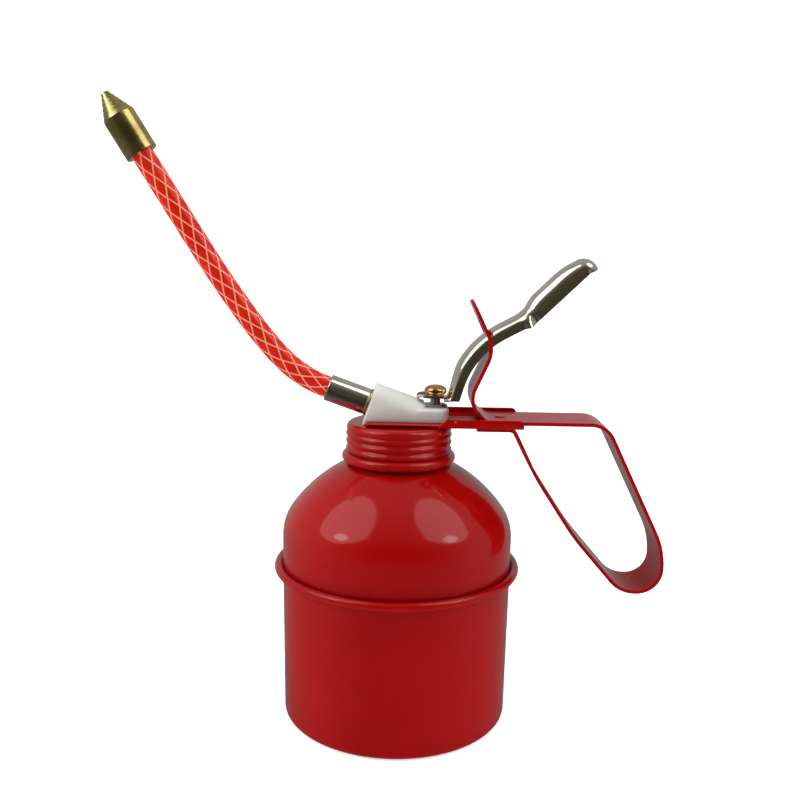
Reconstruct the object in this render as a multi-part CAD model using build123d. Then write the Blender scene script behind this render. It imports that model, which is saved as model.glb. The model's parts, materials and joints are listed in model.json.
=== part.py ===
"""Lever-pump oil can: pressed steel can, screw cap, strap handle, plunger pump, flexible spout.

Frame: millimetres, +Z up, origin on the can's axis at its base. The handle lies along +X, the
spout rises along -X, and the whole object is symmetric about the XZ plane apart from details.
"""
from build123d import *
from math import acos, atan2, cos, degrees, hypot, radians, sin, sqrt, tan
import os

os.makedirs("parts", exist_ok=True)

# ---- can ----
CAN_RADIUS = 42.65        # outside radius at the seam
BASE_RADIUS = 42.0        # outside radius just above the base, drawn with a little draft
BASE_CORNER = 2.4         # outside radius of the base corner
CAN_SHEET = 0.5           # steel thickness of cup and shoulder
SEAM_HEIGHT = 57.45       # top face of the cup's flange
SEAM_REACH = 2.35         # how far the flange stands out from the wall
BEAD_RADIUS = 1.57        # radius of the curled seam bead
BEAD_OUT = 1.55           # bead centre, outward from the wall
SHOULDER_HEIGHT = 69.5    # where the straight wall turns into the dome
SHOULDER_ARC = 17.1       # lower, tighter arc of the dome
SHOULDER_TURN = 35.75     # degrees swept by the lower arc
DOME_ARC = 54.4           # upper, flatter arc of the dome
NECK_RADIUS = 17.4        # outside radius of the neck between its ridges
NECK_TOP = 110.35         # rim of the neck

# ---- screw cap ----
CAP_TOP = 111.8           # outside face of the cap
CAP_SHEET = 0.4
CAP_RADIUS = 18.8         # outside radius between the ridges
CAP_RIM_RADIUS = 19.3     # outside radius of the top shoulder
CAP_CORNER = 1.9          # outside radius of the top corner
CAP_FOOT = 97.35          # lower edge of the skirt
CAP_BEAD_RADIUS = 20.95   # outside radius of the bead round the skirt's foot
THREAD_PITCH = 2.75
THREAD_TURNS = 3
RIDGE_LOW = 102.15        # centre of the lowest ridge
RIDGE_RISE = 0.6
RIDGE_HALF = 0.95         # half the height of a ridge
NECK_RIDGE_RISE = 0.7
GASKET_WIDTH = 0.75       # clear of the barrel and of the cap's top corner
GASKET_RADIUS = 17.6

# ---- bracket and strap ----
BRACKET_SHEET = 1.2
BRACKET_WIDTH = 26.0
BRACKET_LEFT = -11.8
BRACKET_RIGHT = 44.5
FLANGE_HEIGHT = 3.5       # bracket flange, outside
FLANGE_START = 14.5       # the flanges rise beyond the pump head
FLANGE_RAMP = 2.5
STRAP_SHEET = 1.3
STRAP_WIDTH = 20.0
STRAP_END = 28.0          # lower end, riveted under the bracket
LOOP_LOW = 51.05          # centre line at the bottom of the hand loop
LOOP_REACH = 97.65        # centre line at the far side of the hand loop
UPRIGHT_TIP = (25.3, 157.0)
WINDOW_WIDTH = 14.0
WINDOW_LOW = 138.7
WINDOW_HIGH = 150.5
WINDOW_ROUND = 1.2
TIP_ROUND = 8.0
BRACKET_BEND = 0.6        # inside radius of the channel's bends
BRACKET_TIP = 1.8         # rounding of the flanges' free corners
RIVET_X = 37.0
RIVET_RADIUS = 1.2
RIVET_HEAD = 1.85
RIVET_RISE = 0.3          # height of each flat head

# ---- pump head ----
ROD_X = 13.1              # axis of rod and barrel
SPIGOT_X = -1.0           # axis of the threaded spigot that clamps the head
SPIGOT_RADIUS = 5.0
SPIGOT_END = 104.0
HEAD_HALF_WIDTH = 8.5
HEAD_RIGHT = 18.0
HEAD_DECK = 117.9         # flat top round the rod
HEAD_ROUND = 5.0          # long top edges of the spout boss
BOSS_RADIUS = 7.3         # top of the boss above the outlet axis
BOSS_LENGTH = 40.0
HEAD_CORNER = 4.0         # upright corners behind the rod
DECK_ROUND = 1.0
NUT_HALF_FLATS = 7.0
NUT_HEIGHT = 5.0
WASHER_RADIUS = 8.4
WASHER_THICK = 1.0
OUTLET_ANGLE = 19.5       # degrees above the horizontal
OUTLET_X = -10.96         # outlet axis where it leaves the head
OUTLET_Z = 118.69
OUTLET_BORE = 3.0
VALVE_BORE = 1.7
VALVE_DEPTH = 10.6
OUT_BALL_RADIUS = 1.2
SPOT_RADIUS = 3.9         # flat spot face round the gland
SPOT_FILLET = 2.6

# ---- pump inside ----
BARREL_RADIUS = 3.5
BARREL_BORE = 3.0
BARREL_END = 72.0
STOP_HEIGHT = BARREL_END + 8.0
STOP_RADIUS = 0.4         # cross pin above the suction ball
COLLAR_RADIUS = 4.3
COLLAR_THICK = 0.5
SEAL_THICK = 0.5
CHAMBER_TOP = 115.4       # ceiling over the barrel, where the spring bears
PASSAGE_RADIUS = 0.7      # drilled from the outlet
CROSS_RADIUS = 0.5        # drilled from the chamber to meet it
SHANK_RADIUS = 1.85       # polished upper part of the rod
SHANK_END = 104.0
ROD_RADIUS = 1.25
ROD_END = 82.5
PISTON_TOP = 90.9
PISTON_WASHER = 1.0
PISTON_CUP_HEIGHT = 4.0
PISTON_NUT_HEIGHT = 3.0
ORING_RADIUS = 0.6
ORING_SEAT = 116.1
GLAND_RADIUS = 3.8
GLAND_THICK = 0.9
SPRING_WIRE = 0.3         # wire radius
SPRING_COIL = 2.4         # mean coil radius
SPRING_TURNS = 12
BALL_RADIUS = 1.75
SEAT_BORE = 1.0
DIP_RADIUS = 3.0
DIP_BORE = 2.25
DIP_END = 5.0
STRAINER_LOW = 3.0

# ---- rod knob and lever ----
KNOB_HEIGHT = 123.6       # centre of the knob, the lever's hinge line
KNOB_RADIUS = 4.1
KNOB_HALF = 2.1           # half the knob's height
KNOB_EDGE = 1.4           # radius of the knob's rounded edge
STUD_RISE = 0.9           # how far the rod's stud reaches above the knob's centre
LEVER_SHEET = 1.0
LEVER_WIDTH = 12.0
LEVER_DEPTH = 4.4         # outside depth of the pressed channel
FOOT_TOP = 121.5          # top face of the fork foot
FOOT_TIP = 7.1
FORK_HALF = 2.1           # half the width of the fork's slot
FOOT_ROUND = 3.5

# ---- spout ----
HOSE_RADIUS = 4.0
HOSE_BORE = 2.6
FERRULE_LENGTH = 15.35
FERRULE_RADIUS = 4.9
TAIL_FLANGE = 0.9
TAIL_FLANGE_RADIUS = 5.2
TAIL_LENGTH = 17.0
TAIL_SHANK = 6.0
NOZZLE_RADIUS = 5.85
NOZZLE_CYLINDER = 14.6
NOZZLE_LENGTH = 24.0
NOZZLE_TIP_RADIUS = 1.28
NOZZLE_SOCKET = 8.8

# ---- clearances ----
RUN = 0.08                # running fit, radial
SLIP = 0.15               # pieces dropped through a hole, radial
FIT = 0.03                # screwed or pressed together, radial
REST = 0.05               # contact between pieces that part company


# ======================= shared shapes =======================
def shifted(points, radii, distance):
    """A filleted path moved to its left by distance: its corner points and radii."""
    units = []
    for (ax, az), (bx, bz) in zip(points, points[1:]):
        run = hypot(bx - ax, bz - az)
        units.append(((bx - ax) / run, (bz - az) / run))
    moved = [(points[0][0] - units[0][1] * distance, points[0][1] + units[0][0] * distance)]
    new_radii = []
    for point, before, after, radius in zip(points[1:-1], units, units[1:], radii):
        share = distance / (1 + before[0] * after[0] + before[1] * after[1])
        moved.append((point[0] - (before[1] + after[1]) * share,
                      point[1] + (before[0] + after[0]) * share))
        turn = before[0] * after[1] - before[1] * after[0]
        new_radii.append(radius - distance if turn > 0 else radius + distance)
    moved.append((points[-1][0] - units[-1][1] * distance, points[-1][1] + units[-1][0] * distance))
    return moved, new_radii


def path_edges(points, radii):
    """Edges of a polyline with its corners rounded."""
    return FilletPolyline(*points, radius=radii).edges()


def band(points, radii, low, high):
    """Face between two parallel offsets of one filleted path: bent sheet seen edge on."""
    near, near_radii = shifted(points, radii, low)
    far, far_radii = shifted(points, radii, high)
    edges = path_edges(near, near_radii) + path_edges(far, far_radii)
    edges += [Line(near[0], far[0]).edge(), Line(near[-1], far[-1]).edge()]
    return make_face(edges)


def polygon(*points):
    """Closed straight-sided face."""
    return make_face(Polyline(*points, close=True).edges())


def turned(face):
    """Solid of revolution about Z of a face drawn as radius against height."""
    return revolve(Plane.XZ * face, Axis.Z)


def across(face, width):
    """Solid of a face drawn in XZ, as wide as given and centred on the mid plane."""
    return extrude(Plane.XZ * face, amount=width / 2, both=True)


def ring(outer, inner, low, high, x=0.0):
    """Upright tube or washer."""
    face = Circle(outer) - Circle(inner) if inner else Circle(outer)
    return Pos(x, 0, low) * extrude(face, amount=high - low)


def ridges(radius, rise, low, high, count=THREAD_TURNS):
    """Edges of a wall with rolled ridges, from its low end to its high end."""
    edges = []
    below = (radius, low)
    for i in range(count):
        centre = RIDGE_LOW + i * THREAD_PITCH
        foot, crest = (radius, centre - RIDGE_HALF), (radius + rise, centre)
        top = (radius, centre + RIDGE_HALF)
        edges += [Line(below, foot).edge(), ThreePointArc(foot, crest, top).edge()]
        below = top
    return edges + [Line(below, (radius, high)).edge()]


def write(name, shape):
    """One STEP file for one node."""
    export_step(shape, f"parts/{name}.step")


# ======================= can =======================
def can_cup():
    """Deep-drawn cup with its flange, open at the top."""
    points = [(0, 0), (BASE_RADIUS, 0), (CAN_RADIUS, SEAM_HEIGHT - CAN_SHEET),
              (CAN_RADIUS + SEAM_REACH, SEAM_HEIGHT - CAN_SHEET)]
    return turned(band(points, [BASE_CORNER, 0], 0, CAN_SHEET))


def dome_points(inset):
    """Arc centres, radii and neck height of the dome for a surface inset by a thickness."""
    turn = radians(SHOULDER_TURN)
    low = (CAN_RADIUS - SHOULDER_ARC, SHOULDER_HEIGHT)
    shift = SHOULDER_ARC - DOME_ARC
    high = (low[0] + shift * cos(turn), low[1] + shift * sin(turn))
    radius = DOME_ARC - inset
    end = degrees(acos((NECK_RADIUS - inset - high[0]) / radius))
    return low, high, SHOULDER_ARC - inset, radius, end


def shoulder_line(inset):
    """Edges of one surface of the shoulder, from the seam up to the rim of the neck."""
    low, high, low_radius, high_radius, end = dome_points(inset)
    wall = Line((CAN_RADIUS - inset, SEAM_HEIGHT), (CAN_RADIUS - inset, SHOULDER_HEIGHT)).edge()
    arcs = [CenterArc(low, low_radius, 0, SHOULDER_TURN).edge(),
            CenterArc(high, high_radius, SHOULDER_TURN, end - SHOULDER_TURN).edge()]
    foot = high[1] + high_radius * sin(radians(end))
    return [wall] + arcs + ridges(NECK_RADIUS - inset, NECK_RIDGE_RISE, foot, NECK_TOP)


def can_shoulder(cup):
    """Domed shoulder with the ridged neck, curled over the cup's flange at the seam."""
    edges = shoulder_line(0) + shoulder_line(CAN_SHEET)
    for radius, height in ((CAN_RADIUS, SEAM_HEIGHT), (NECK_RADIUS, NECK_TOP)):
        edges.append(Line((radius - CAN_SHEET, height), (radius, height)).edge())
    dome = turned(make_face(edges))
    bead = turned(Pos(CAN_RADIUS + BEAD_OUT, SEAM_HEIGHT) * Circle(BEAD_RADIUS))
    web = ring(CAN_RADIUS + BEAD_OUT, CAN_RADIUS - CAN_SHEET, SEAM_HEIGHT, SEAM_HEIGHT + 1.2 * CAN_SHEET)
    core = ring(CAN_RADIUS + SEAM_REACH, 0, 0, SEAM_HEIGHT)
    hidden = core - ring(CAN_RADIUS + SEAM_REACH, CAN_RADIUS + REST, 0, SEAM_HEIGHT - CAN_SHEET)
    return dome + web + (bead - hidden)


# ======================= screw cap =======================
def cap_line(inset):
    """Edges of one surface of the cap, from the foot of the skirt to the axis."""
    radius = CAP_RADIUS - inset
    bead_top = RIDGE_LOW - RIDGE_HALF - 0.2
    lip = (CAP_BEAD_RADIUS - 1.5 - inset, CAP_FOOT)
    crest = (CAP_BEAD_RADIUS - inset, (CAP_FOOT + bead_top) / 2)
    edges = [ThreePointArc(lip, crest, (radius, bead_top)).edge()]
    shoulder = CAP_TOP - CAP_CORNER
    edges += ridges(radius, RIDGE_RISE, bead_top, shoulder - 0.8)
    edges.append(Line((radius, shoulder - 0.8), (CAP_RIM_RADIUS - inset, shoulder)).edge())
    centre = (CAP_RIM_RADIUS - CAP_CORNER, shoulder)
    edges.append(CenterArc(centre, CAP_CORNER - inset, 0, 90).edge())
    edges.append(Line((centre[0], CAP_TOP - inset), (0, CAP_TOP - inset)).edge())
    return edges


def screw_cap():
    """Pressed cap with rolled thread ridges, holed for the pump's spigot and barrel."""
    edges = cap_line(0) + cap_line(CAP_SHEET)
    lip = CAP_BEAD_RADIUS - 1.5
    edges.append(Line((lip - CAP_SHEET, CAP_FOOT), (lip, CAP_FOOT)).edge())
    edges.append(Line((0, CAP_TOP - CAP_SHEET), (0, CAP_TOP)).edge())
    return turned(make_face(edges)) - pump_holes(CAP_TOP - 2, CAP_TOP + 1)


def pump_holes(low, high):
    """The two holes that the spigot and the barrel pass through."""
    spigot = ring(SPIGOT_RADIUS + SLIP, 0, low, high, SPIGOT_X)
    return spigot + ring(BARREL_RADIUS + SLIP, 0, low, high, ROD_X)


def cap_gasket():
    """Flat rubber washer between the cap and the rim of the neck."""
    high = CAP_TOP - CAP_SHEET - REST
    return ring(GASKET_RADIUS, GASKET_RADIUS - GASKET_WIDTH, NECK_TOP + REST, high)


# ======================= bracket and strap handle =======================
FLOOR = CAP_TOP + BRACKET_SHEET        # top face of the bracket's floor


def bracket():
    """Channel of sheet steel on the cap: flat under the pump head, flanged behind it."""
    length = BRACKET_RIGHT - BRACKET_LEFT
    middle = (BRACKET_LEFT + BRACKET_RIGHT) / 2
    top = CAP_TOP + FLANGE_HEIGHT
    outer = Pos(middle, 0, CAP_TOP + FLANGE_HEIGHT / 2) * Box(length, BRACKET_WIDTH, FLANGE_HEIGHT)
    low = outer.faces().sort_by(Axis.Z)[0].edges().filter_by(Axis.X)
    outer = fillet(low, BRACKET_SHEET + BRACKET_BEND)
    inner = Pos(middle, 0, FLOOR + 5) * Box(length + 2, BRACKET_WIDTH - 2 * BRACKET_SHEET, 10)
    inner = fillet(inner.faces().sort_by(Axis.Z)[0].edges().filter_by(Axis.X), BRACKET_BEND)
    cut = polygon((BRACKET_LEFT - 1, FLOOR), (FLANGE_START, FLOOR),
                  (FLANGE_START + FLANGE_RAMP, top + 0.01), (BRACKET_LEFT - 1, top + 0.01))
    body = outer - inner - across(cut, BRACKET_WIDTH + 2)
    ends = [e for e in body.edges().filter_by(Axis.Y) if abs(e.center().X - BRACKET_RIGHT) < 0.01]
    tips = [e for e in ends if e.center().Z > top - 0.1]
    body = fillet(tips, BRACKET_TIP)
    hole = ring(RIVET_RADIUS + FIT, 0, CAP_TOP - 1, FLOOR + 1, RIVET_X)
    return body - pump_holes(CAP_TOP - 1, FLOOR + 1) - hole


def strap_path():
    """Centre line of the strap: under the bracket, round the hand loop, along and up."""
    low = CAP_TOP - STRAP_SHEET / 2
    high = FLOOR + STRAP_SHEET / 2
    points = [(STRAP_END, low), (41.4, low), (49.9, 94.0), (64.5, 72.0), (82.7, LOOP_LOW),
              (LOOP_REACH, LOOP_LOW), (LOOP_REACH, 67.3), (74.57, high), (21.4, high),
              (33.27, 140.3), UPRIGHT_TIP]
    return points, [3.0, 90.0, 90.0, 12.0, 9.0, 30.0, 9.0, 8.8, 11.5]


def handle_strap():
    """One strip of steel bent into the hand loop and the slotted upright."""
    points, radii = strap_path()
    body = across(band(points, radii, -STRAP_SHEET / 2, STRAP_SHEET / 2), STRAP_WIDTH)
    tip = body.faces().sort_by(Axis.Z)[-1]
    corners = [e for e in tip.edges() if e.length < 2 * STRAP_SHEET]
    body = fillet(corners, TIP_ROUND)
    height = WINDOW_HIGH - WINDOW_LOW
    window = Pos(30, 0, (WINDOW_HIGH + WINDOW_LOW) / 2) * Box(16, WINDOW_WIDTH, height)
    window = fillet(window.edges().filter_by(Axis.X), WINDOW_ROUND)
    hole = ring(RIVET_RADIUS + FIT, 0, CAP_TOP - 3, FLOOR + 3, RIVET_X)
    return body - window - hole


def strap_rivet():
    """Flat-headed rivet through the strap, the bracket and the strap's lower end."""
    low, high = CAP_TOP - STRAP_SHEET, FLOOR + STRAP_SHEET
    body = ring(RIVET_RADIUS, 0, low, high, RIVET_X)
    for base in (low - RIVET_RISE, high):
        body += ring(RIVET_HEAD, 0, base, base + RIVET_RISE, RIVET_X)
    return body


# ======================= pump head =======================
OUT = radians(OUTLET_ANGLE)
OUTLET = Plane(origin=(OUTLET_X, 0, OUTLET_Z), x_dir=(0, 1, 0), z_dir=(-cos(OUT), 0, sin(OUT)))


def on_outlet(outer, inner, low, high):
    """Tube along the outlet axis, measured outward from the head's face."""
    face = Circle(outer) - Circle(inner) if inner else Circle(outer)
    return extrude(OUTLET.offset(low) * face, amount=high - low)


def head_outline():
    """Side view of the head: slanted spout face, falling top edge, step down to the deck."""
    lean = tan(OUT)
    top = (OUTLET_X + BOSS_RADIUS * sin(OUT), OUTLET_Z + BOSS_RADIUS * cos(OUT))
    step = ROD_X - SPOT_RADIUS
    nose = CAP_TOP
    return polygon((OUTLET_X - (OUTLET_Z - nose) * lean, nose), top,
                   (step, top[1] - (step - top[0]) * lean), (step, FLOOR),
                   (BRACKET_LEFT - SLIP, FLOOR), (BRACKET_LEFT - SLIP, nose))


def pump_head():
    """Nylon moulding that holds the barrel, the gland, the outlet and the clamp spigot."""
    middle = BOSS_RADIUS - BOSS_LENGTH / 2
    boss = Pos(0, middle) * RectangleRounded(2 * HEAD_HALF_WIDTH, BOSS_LENGTH, HEAD_ROUND)
    along = Plane(origin=(OUTLET_X, 0, OUTLET_Z), x_dir=(0, 1, 0), z_dir=(cos(OUT), 0, -sin(OUT)))
    tunnel = extrude(along.offset(-TAIL_SHANK) * boss, amount=BOSS_LENGTH)
    body = across(head_outline(), 2 * HEAD_HALF_WIDTH) & tunnel
    left = ROD_X - SPOT_RADIUS - 3
    block = Pos((left + HEAD_RIGHT) / 2, 0, (FLOOR + HEAD_DECK) / 2)
    block = block * Box(HEAD_RIGHT - left, 2 * HEAD_HALF_WIDTH, HEAD_DECK - FLOOR)
    block = fillet([e for e in block.edges().filter_by(Axis.Z) if e.center().X > ROD_X], HEAD_CORNER)
    block = fillet(block.faces().sort_by(Axis.Z)[-1].edges().filter_by(Axis.X), DECK_ROUND)
    body = body + block + ring(SPIGOT_RADIUS, 0, SPIGOT_END, FLOOR + 1, SPIGOT_X)
    for hollow in head_hollows():
        body -= hollow
    return body


def head_hollows():
    """Everything cut from the head: spot face, gland pocket, chamber, passage, outlet."""
    rise = SPOT_RADIUS + SPOT_FILLET
    start, end = (SPOT_RADIUS, HEAD_DECK), (rise, HEAD_DECK + SPOT_FILLET)
    arc = RadiusArc(start, end, -SPOT_FILLET).edge()
    lines = Polyline(end, (rise, HEAD_DECK + 12), (0, HEAD_DECK + 12), (0, HEAD_DECK), start).edges()
    spot = Pos(ROD_X, 0, 0) * turned(make_face([arc] + lines))
    collar_top = FLOOR + COLLAR_THICK + SEAL_THICK
    pocket = SHANK_RADIUS + 2 * ORING_RADIUS + FIT
    height = (collar_top + CHAMBER_TOP) / 2
    depth = (OUTLET_Z - height) / sin(OUT)
    meet = OUTLET_X + depth * cos(OUT)
    cross = extrude(Circle(CROSS_RADIUS), amount=ROD_X - BARREL_BORE - meet + 1)
    passage = Pos(meet, 0, height) * Rot(0, 90, 0) * cross
    return [spot,
            ring(COLLAR_RADIUS + FIT, 0, FLOOR - 1, collar_top, ROD_X),
            ring(BARREL_BORE, 0, collar_top - 0.1, CHAMBER_TOP, ROD_X),
            ring(SHANK_RADIUS + RUN, 0, CHAMBER_TOP - 0.1, ORING_SEAT + 0.1, ROD_X),
            ring(pocket, 0, ORING_SEAT, HEAD_DECK + 1, ROD_X),
            on_outlet(OUTLET_BORE, 0, -TAIL_SHANK, 1),
            on_outlet(VALVE_BORE, 0, -VALVE_DEPTH, -TAIL_SHANK + 0.1),
            on_outlet(PASSAGE_RADIUS, 0, -depth - 0.5, -VALVE_DEPTH + 0.1),
            passage]


def lock_nut():
    """Hexagon nut on the spigot, clamping head, bracket and cap together."""
    top = CAP_TOP - CAP_SHEET - WASHER_THICK
    hexagon = RegularPolygon(NUT_HALF_FLATS, 6, major_radius=False) - Circle(SPIGOT_RADIUS + FIT)
    return Pos(SPIGOT_X, 0, top - NUT_HEIGHT) * extrude(hexagon, amount=NUT_HEIGHT)


def nut_washer():
    """Steel washer between the nut and the inside of the cap."""
    top = CAP_TOP - CAP_SHEET
    return ring(WASHER_RADIUS, SPIGOT_RADIUS + SLIP, top - WASHER_THICK, top, SPIGOT_X)


def gland_nut():
    """Low screwed gland that holds the rod's seal down."""
    hole = SHANK_RADIUS + RUN
    skirt = ring(SHANK_RADIUS + 2 * ORING_RADIUS, hole, ORING_SEAT + 2 * ORING_RADIUS, HEAD_DECK, ROD_X)
    return skirt + ring(GLAND_RADIUS, hole, HEAD_DECK, HEAD_DECK + GLAND_THICK, ROD_X)


def rod_seal():
    """O-ring round the rod."""
    centre = SHANK_RADIUS + ORING_RADIUS + REST / 2
    section = Pos(centre, ORING_SEAT + ORING_RADIUS) * Circle(ORING_RADIUS - REST / 2)
    return Pos(ROD_X, 0, 0) * turned(section)


# ======================= pump barrel and its valve =======================
def pump_barrel():
    """Brass tube hanging into the can from a collar clamped under the head."""
    tube = ring(BARREL_RADIUS, BARREL_BORE, BARREL_END, FLOOR + COLLAR_THICK, ROD_X)
    collar = ring(COLLAR_RADIUS, BARREL_BORE, FLOOR, FLOOR + COLLAR_THICK, ROD_X)
    hole = Pos(ROD_X, 0, STOP_HEIGHT) * Rot(90, 0, 0)
    pin = hole * extrude(Circle(STOP_RADIUS + FIT), amount=BARREL_RADIUS + 1, both=True)
    return tube + collar - pin


def barrel_seal():
    """Thin washer between the barrel's collar and the head."""
    return ring(COLLAR_RADIUS, BARREL_BORE, FLOOR + COLLAR_THICK, FLOOR + COLLAR_THICK + SEAL_THICK, ROD_X)


def ball_stop():
    """Cross pin that keeps the suction ball near its seat."""
    pin = extrude(Circle(STOP_RADIUS), amount=BARREL_RADIUS, both=True)
    return Pos(ROD_X, 0, STOP_HEIGHT) * Rot(90, 0, 0) * pin


def foot_valve():
    """Turned plug in the barrel's end: conical seat above, hose spigot below."""
    plug = BARREL_BORE - FIT
    points = [(SEAT_BORE, BARREL_END - 9), (SEAT_BORE, BARREL_END + 2.5), (2.3, BARREL_END + 4.5),
              (2.3, BARREL_END + 6.5), (plug, BARREL_END + 6.5), (plug, BARREL_END),
              (BARREL_RADIUS, BARREL_END), (BARREL_RADIUS, BARREL_END - 1),
              (DIP_BORE - FIT, BARREL_END - 1), (DIP_BORE - FIT, BARREL_END - 9)]
    return Pos(ROD_X, 0, 0) * turned(polygon(*points))


def suction_ball():
    """Steel ball resting in the foot valve's cone."""
    slope = (2.3 - SEAT_BORE) / 2.0
    apex = BARREL_END + 2.5 - SEAT_BORE / slope
    centre = apex + BALL_RADIUS * sqrt(1 + slope * slope) / slope + REST
    return Pos(ROD_X, 0, centre) * Sphere(BALL_RADIUS)


def dip_tube():
    """Plastic suction tube pushed over the foot valve's spigot."""
    return ring(DIP_RADIUS, DIP_BORE, DIP_END, BARREL_END - 1, ROD_X)


def strainer():
    """Perforated cup on the end of the dip tube."""
    wall = 0.4
    cup = ring(DIP_RADIUS + FIT + wall, 0, STRAINER_LOW, DIP_END + 5, ROD_X)
    cup -= ring(DIP_RADIUS + FIT, 0, STRAINER_LOW + wall, DIP_END + 6, ROD_X)
    for i in range(8):
        turn = Pos(ROD_X, 0, STRAINER_LOW + 1.3) * Rot(0, 0, i * 45)
        cup -= turn * Rot(0, 90, 0) * extrude(Circle(0.5), amount=DIP_RADIUS + 2)
    return cup


# ======================= rod, piston and springs =======================
def pump_rod():
    """Stepped steel rod: thick polished shank above, thin stem with the piston below."""
    top = KNOB_HEIGHT + STUD_RISE
    shank = ring(SHANK_RADIUS, 0, SHANK_END, KNOB_HEIGHT - KNOB_HALF, ROD_X)
    return shank + ring(ROD_RADIUS, 0, ROD_END, top, ROD_X)


def rod_knob():
    """Flattened ball screwed to the rod, hooked by the lever's fork."""
    edge = KNOB_RADIUS - KNOB_EDGE
    rise = KNOB_HALF - KNOB_EDGE
    drop = (edge ** 2 - rise ** 2) / (2 * rise)
    crown = KNOB_HALF + drop
    turn = degrees(atan2(drop, edge))
    low, high = KNOB_HEIGHT - KNOB_HALF, KNOB_HEIGHT + KNOB_HALF
    edges = [CenterArc((0, KNOB_HEIGHT + drop), crown, -90, 90 - turn).edge(),
             CenterArc((edge, KNOB_HEIGHT), KNOB_EDGE, -turn, 2 * turn).edge(),
             CenterArc((0, KNOB_HEIGHT - drop), crown, turn, 90 - turn).edge(),
             Line((0, low), (0, high)).edge()]
    stud = ring(ROD_RADIUS, 0, low - 1, KNOB_HEIGHT + STUD_RISE, ROD_X)
    return Pos(ROD_X, 0, 0) * turned(make_face(edges)) - stud


def piston_washer():
    """Backing washer above the cup, where the spring bears."""
    return ring(BARREL_BORE - RUN, ROD_RADIUS, PISTON_TOP - PISTON_WASHER, PISTON_TOP, ROD_X)


def piston_cup():
    """Moulded rubber cup, lip upward inside the barrel, clamped under the washer."""
    top = PISTON_TOP - PISTON_WASHER
    low = top - PISTON_CUP_HEIGHT
    return ring(BARREL_BORE - RUN, ROD_RADIUS, low, top, ROD_X)


def piston_nut():
    """Hexagon nut that clamps the cup to the rod."""
    top = PISTON_TOP - PISTON_WASHER - PISTON_CUP_HEIGHT
    hexagon = RegularPolygon(2.3, 6, major_radius=False) - Circle(ROD_RADIUS)
    return Pos(ROD_X, 0, top - PISTON_NUT_HEIGHT) * extrude(hexagon, amount=PISTON_NUT_HEIGHT)


def coil(wire, radius, turns, length):
    """Round-wire compression spring standing on z = 0."""
    height = length - 2 * wire
    helix = Helix(pitch=height / turns, height=height, radius=radius)
    section = Plane(origin=helix @ 0, z_dir=helix % 0) * Circle(wire)
    return Pos(0, 0, wire) * sweep(section, path=helix, is_frenet=True)


def return_spring():
    """Spring between the piston washer and the ceiling of the head's chamber."""
    gap = CHAMBER_TOP - PISTON_TOP
    return Pos(ROD_X, 0, PISTON_TOP + REST) * coil(SPRING_WIRE, SPRING_COIL, SPRING_TURNS, gap - 2 * REST)


# ======================= spout =======================
def out_ball_place():
    """Distance of the outlet ball's centre along the outlet axis."""
    return -VALVE_DEPTH + sqrt(OUT_BALL_RADIUS ** 2 - PASSAGE_RADIUS ** 2) + REST


def outlet_ball():
    """Small steel ball that stops oil draining back from the spout."""
    return OUTLET.offset(out_ball_place()) * Sphere(OUT_BALL_RADIUS)


def outlet_spring():
    """Light spring between the ball and the inner end of the hose tail."""
    low = out_ball_place() + OUT_BALL_RADIUS + REST
    return OUTLET.offset(low) * coil(0.14, 0.9, 4, -TAIL_SHANK - REST - low)


def hose_tail():
    """Brass fitting: shank in the head, thin flange, ribbed tail inside the hose."""
    tail = HOSE_BORE - 0.25
    body = on_outlet(OUTLET_BORE - FIT, 0, -TAIL_SHANK, 0) + on_outlet(TAIL_FLANGE_RADIUS, 0, 0, TAIL_FLANGE)
    body += on_outlet(tail, 0, TAIL_FLANGE, TAIL_LENGTH)
    for i in range(3):
        place = OUTLET.offset(4 + 4 * i)
        body += place * Pos(0, 0, 0.75) * Cone(HOSE_BORE - FIT, tail, 1.5)
    return body - on_outlet(1.2, 0, -TAIL_SHANK - 1, TAIL_LENGTH + 1)


def ferrule():
    """Plated sleeve crimped over the hose's end."""
    low = TAIL_FLANGE + REST
    sleeve = on_outlet(FERRULE_RADIUS, HOSE_RADIUS + FIT, low, low + FERRULE_LENGTH)
    return fillet(sleeve.edges().filter_by(GeomType.CIRCLE).filter_by(
        lambda e: abs(e.radius - FERRULE_RADIUS) < 0.01), 0.35)


def hose_route():
    """Corners of the hose's centre line, from the tail's flange into the nozzle."""
    start = (OUTLET_X - (TAIL_FLANGE + REST) * cos(OUT), OUTLET_Z + (TAIL_FLANGE + REST) * sin(OUT))
    bend = (-34.4, OUTLET_Z + (OUTLET_X + 34.4) * tan(OUT))
    base = (-92.0, 206.05)
    before = (-77.5, 182.6)
    run = hypot(base[0] - before[0], base[1] - before[1])
    unit = ((base[0] - before[0]) / run, (base[1] - before[1]) / run)
    end = (base[0] + unit[0] * NOZZLE_SOCKET, base[1] + unit[1] * NOZZLE_SOCKET)
    return [start, bend, (-46.8, 137.9), (-63.0, 159.8), before, end], base, unit


def bend_radii(points):
    """Largest arc for each corner that its two runs allow."""
    radii = []
    for a, b, c in zip(points, points[1:], points[2:]):
        before, after = Vector(b[0] - a[0], b[1] - a[1]), Vector(c[0] - b[0], c[1] - b[1])
        turn = radians(before.get_angle(after))
        radii.append(0.45 * min(before.length, after.length) / tan(turn / 2))
    return radii


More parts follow.
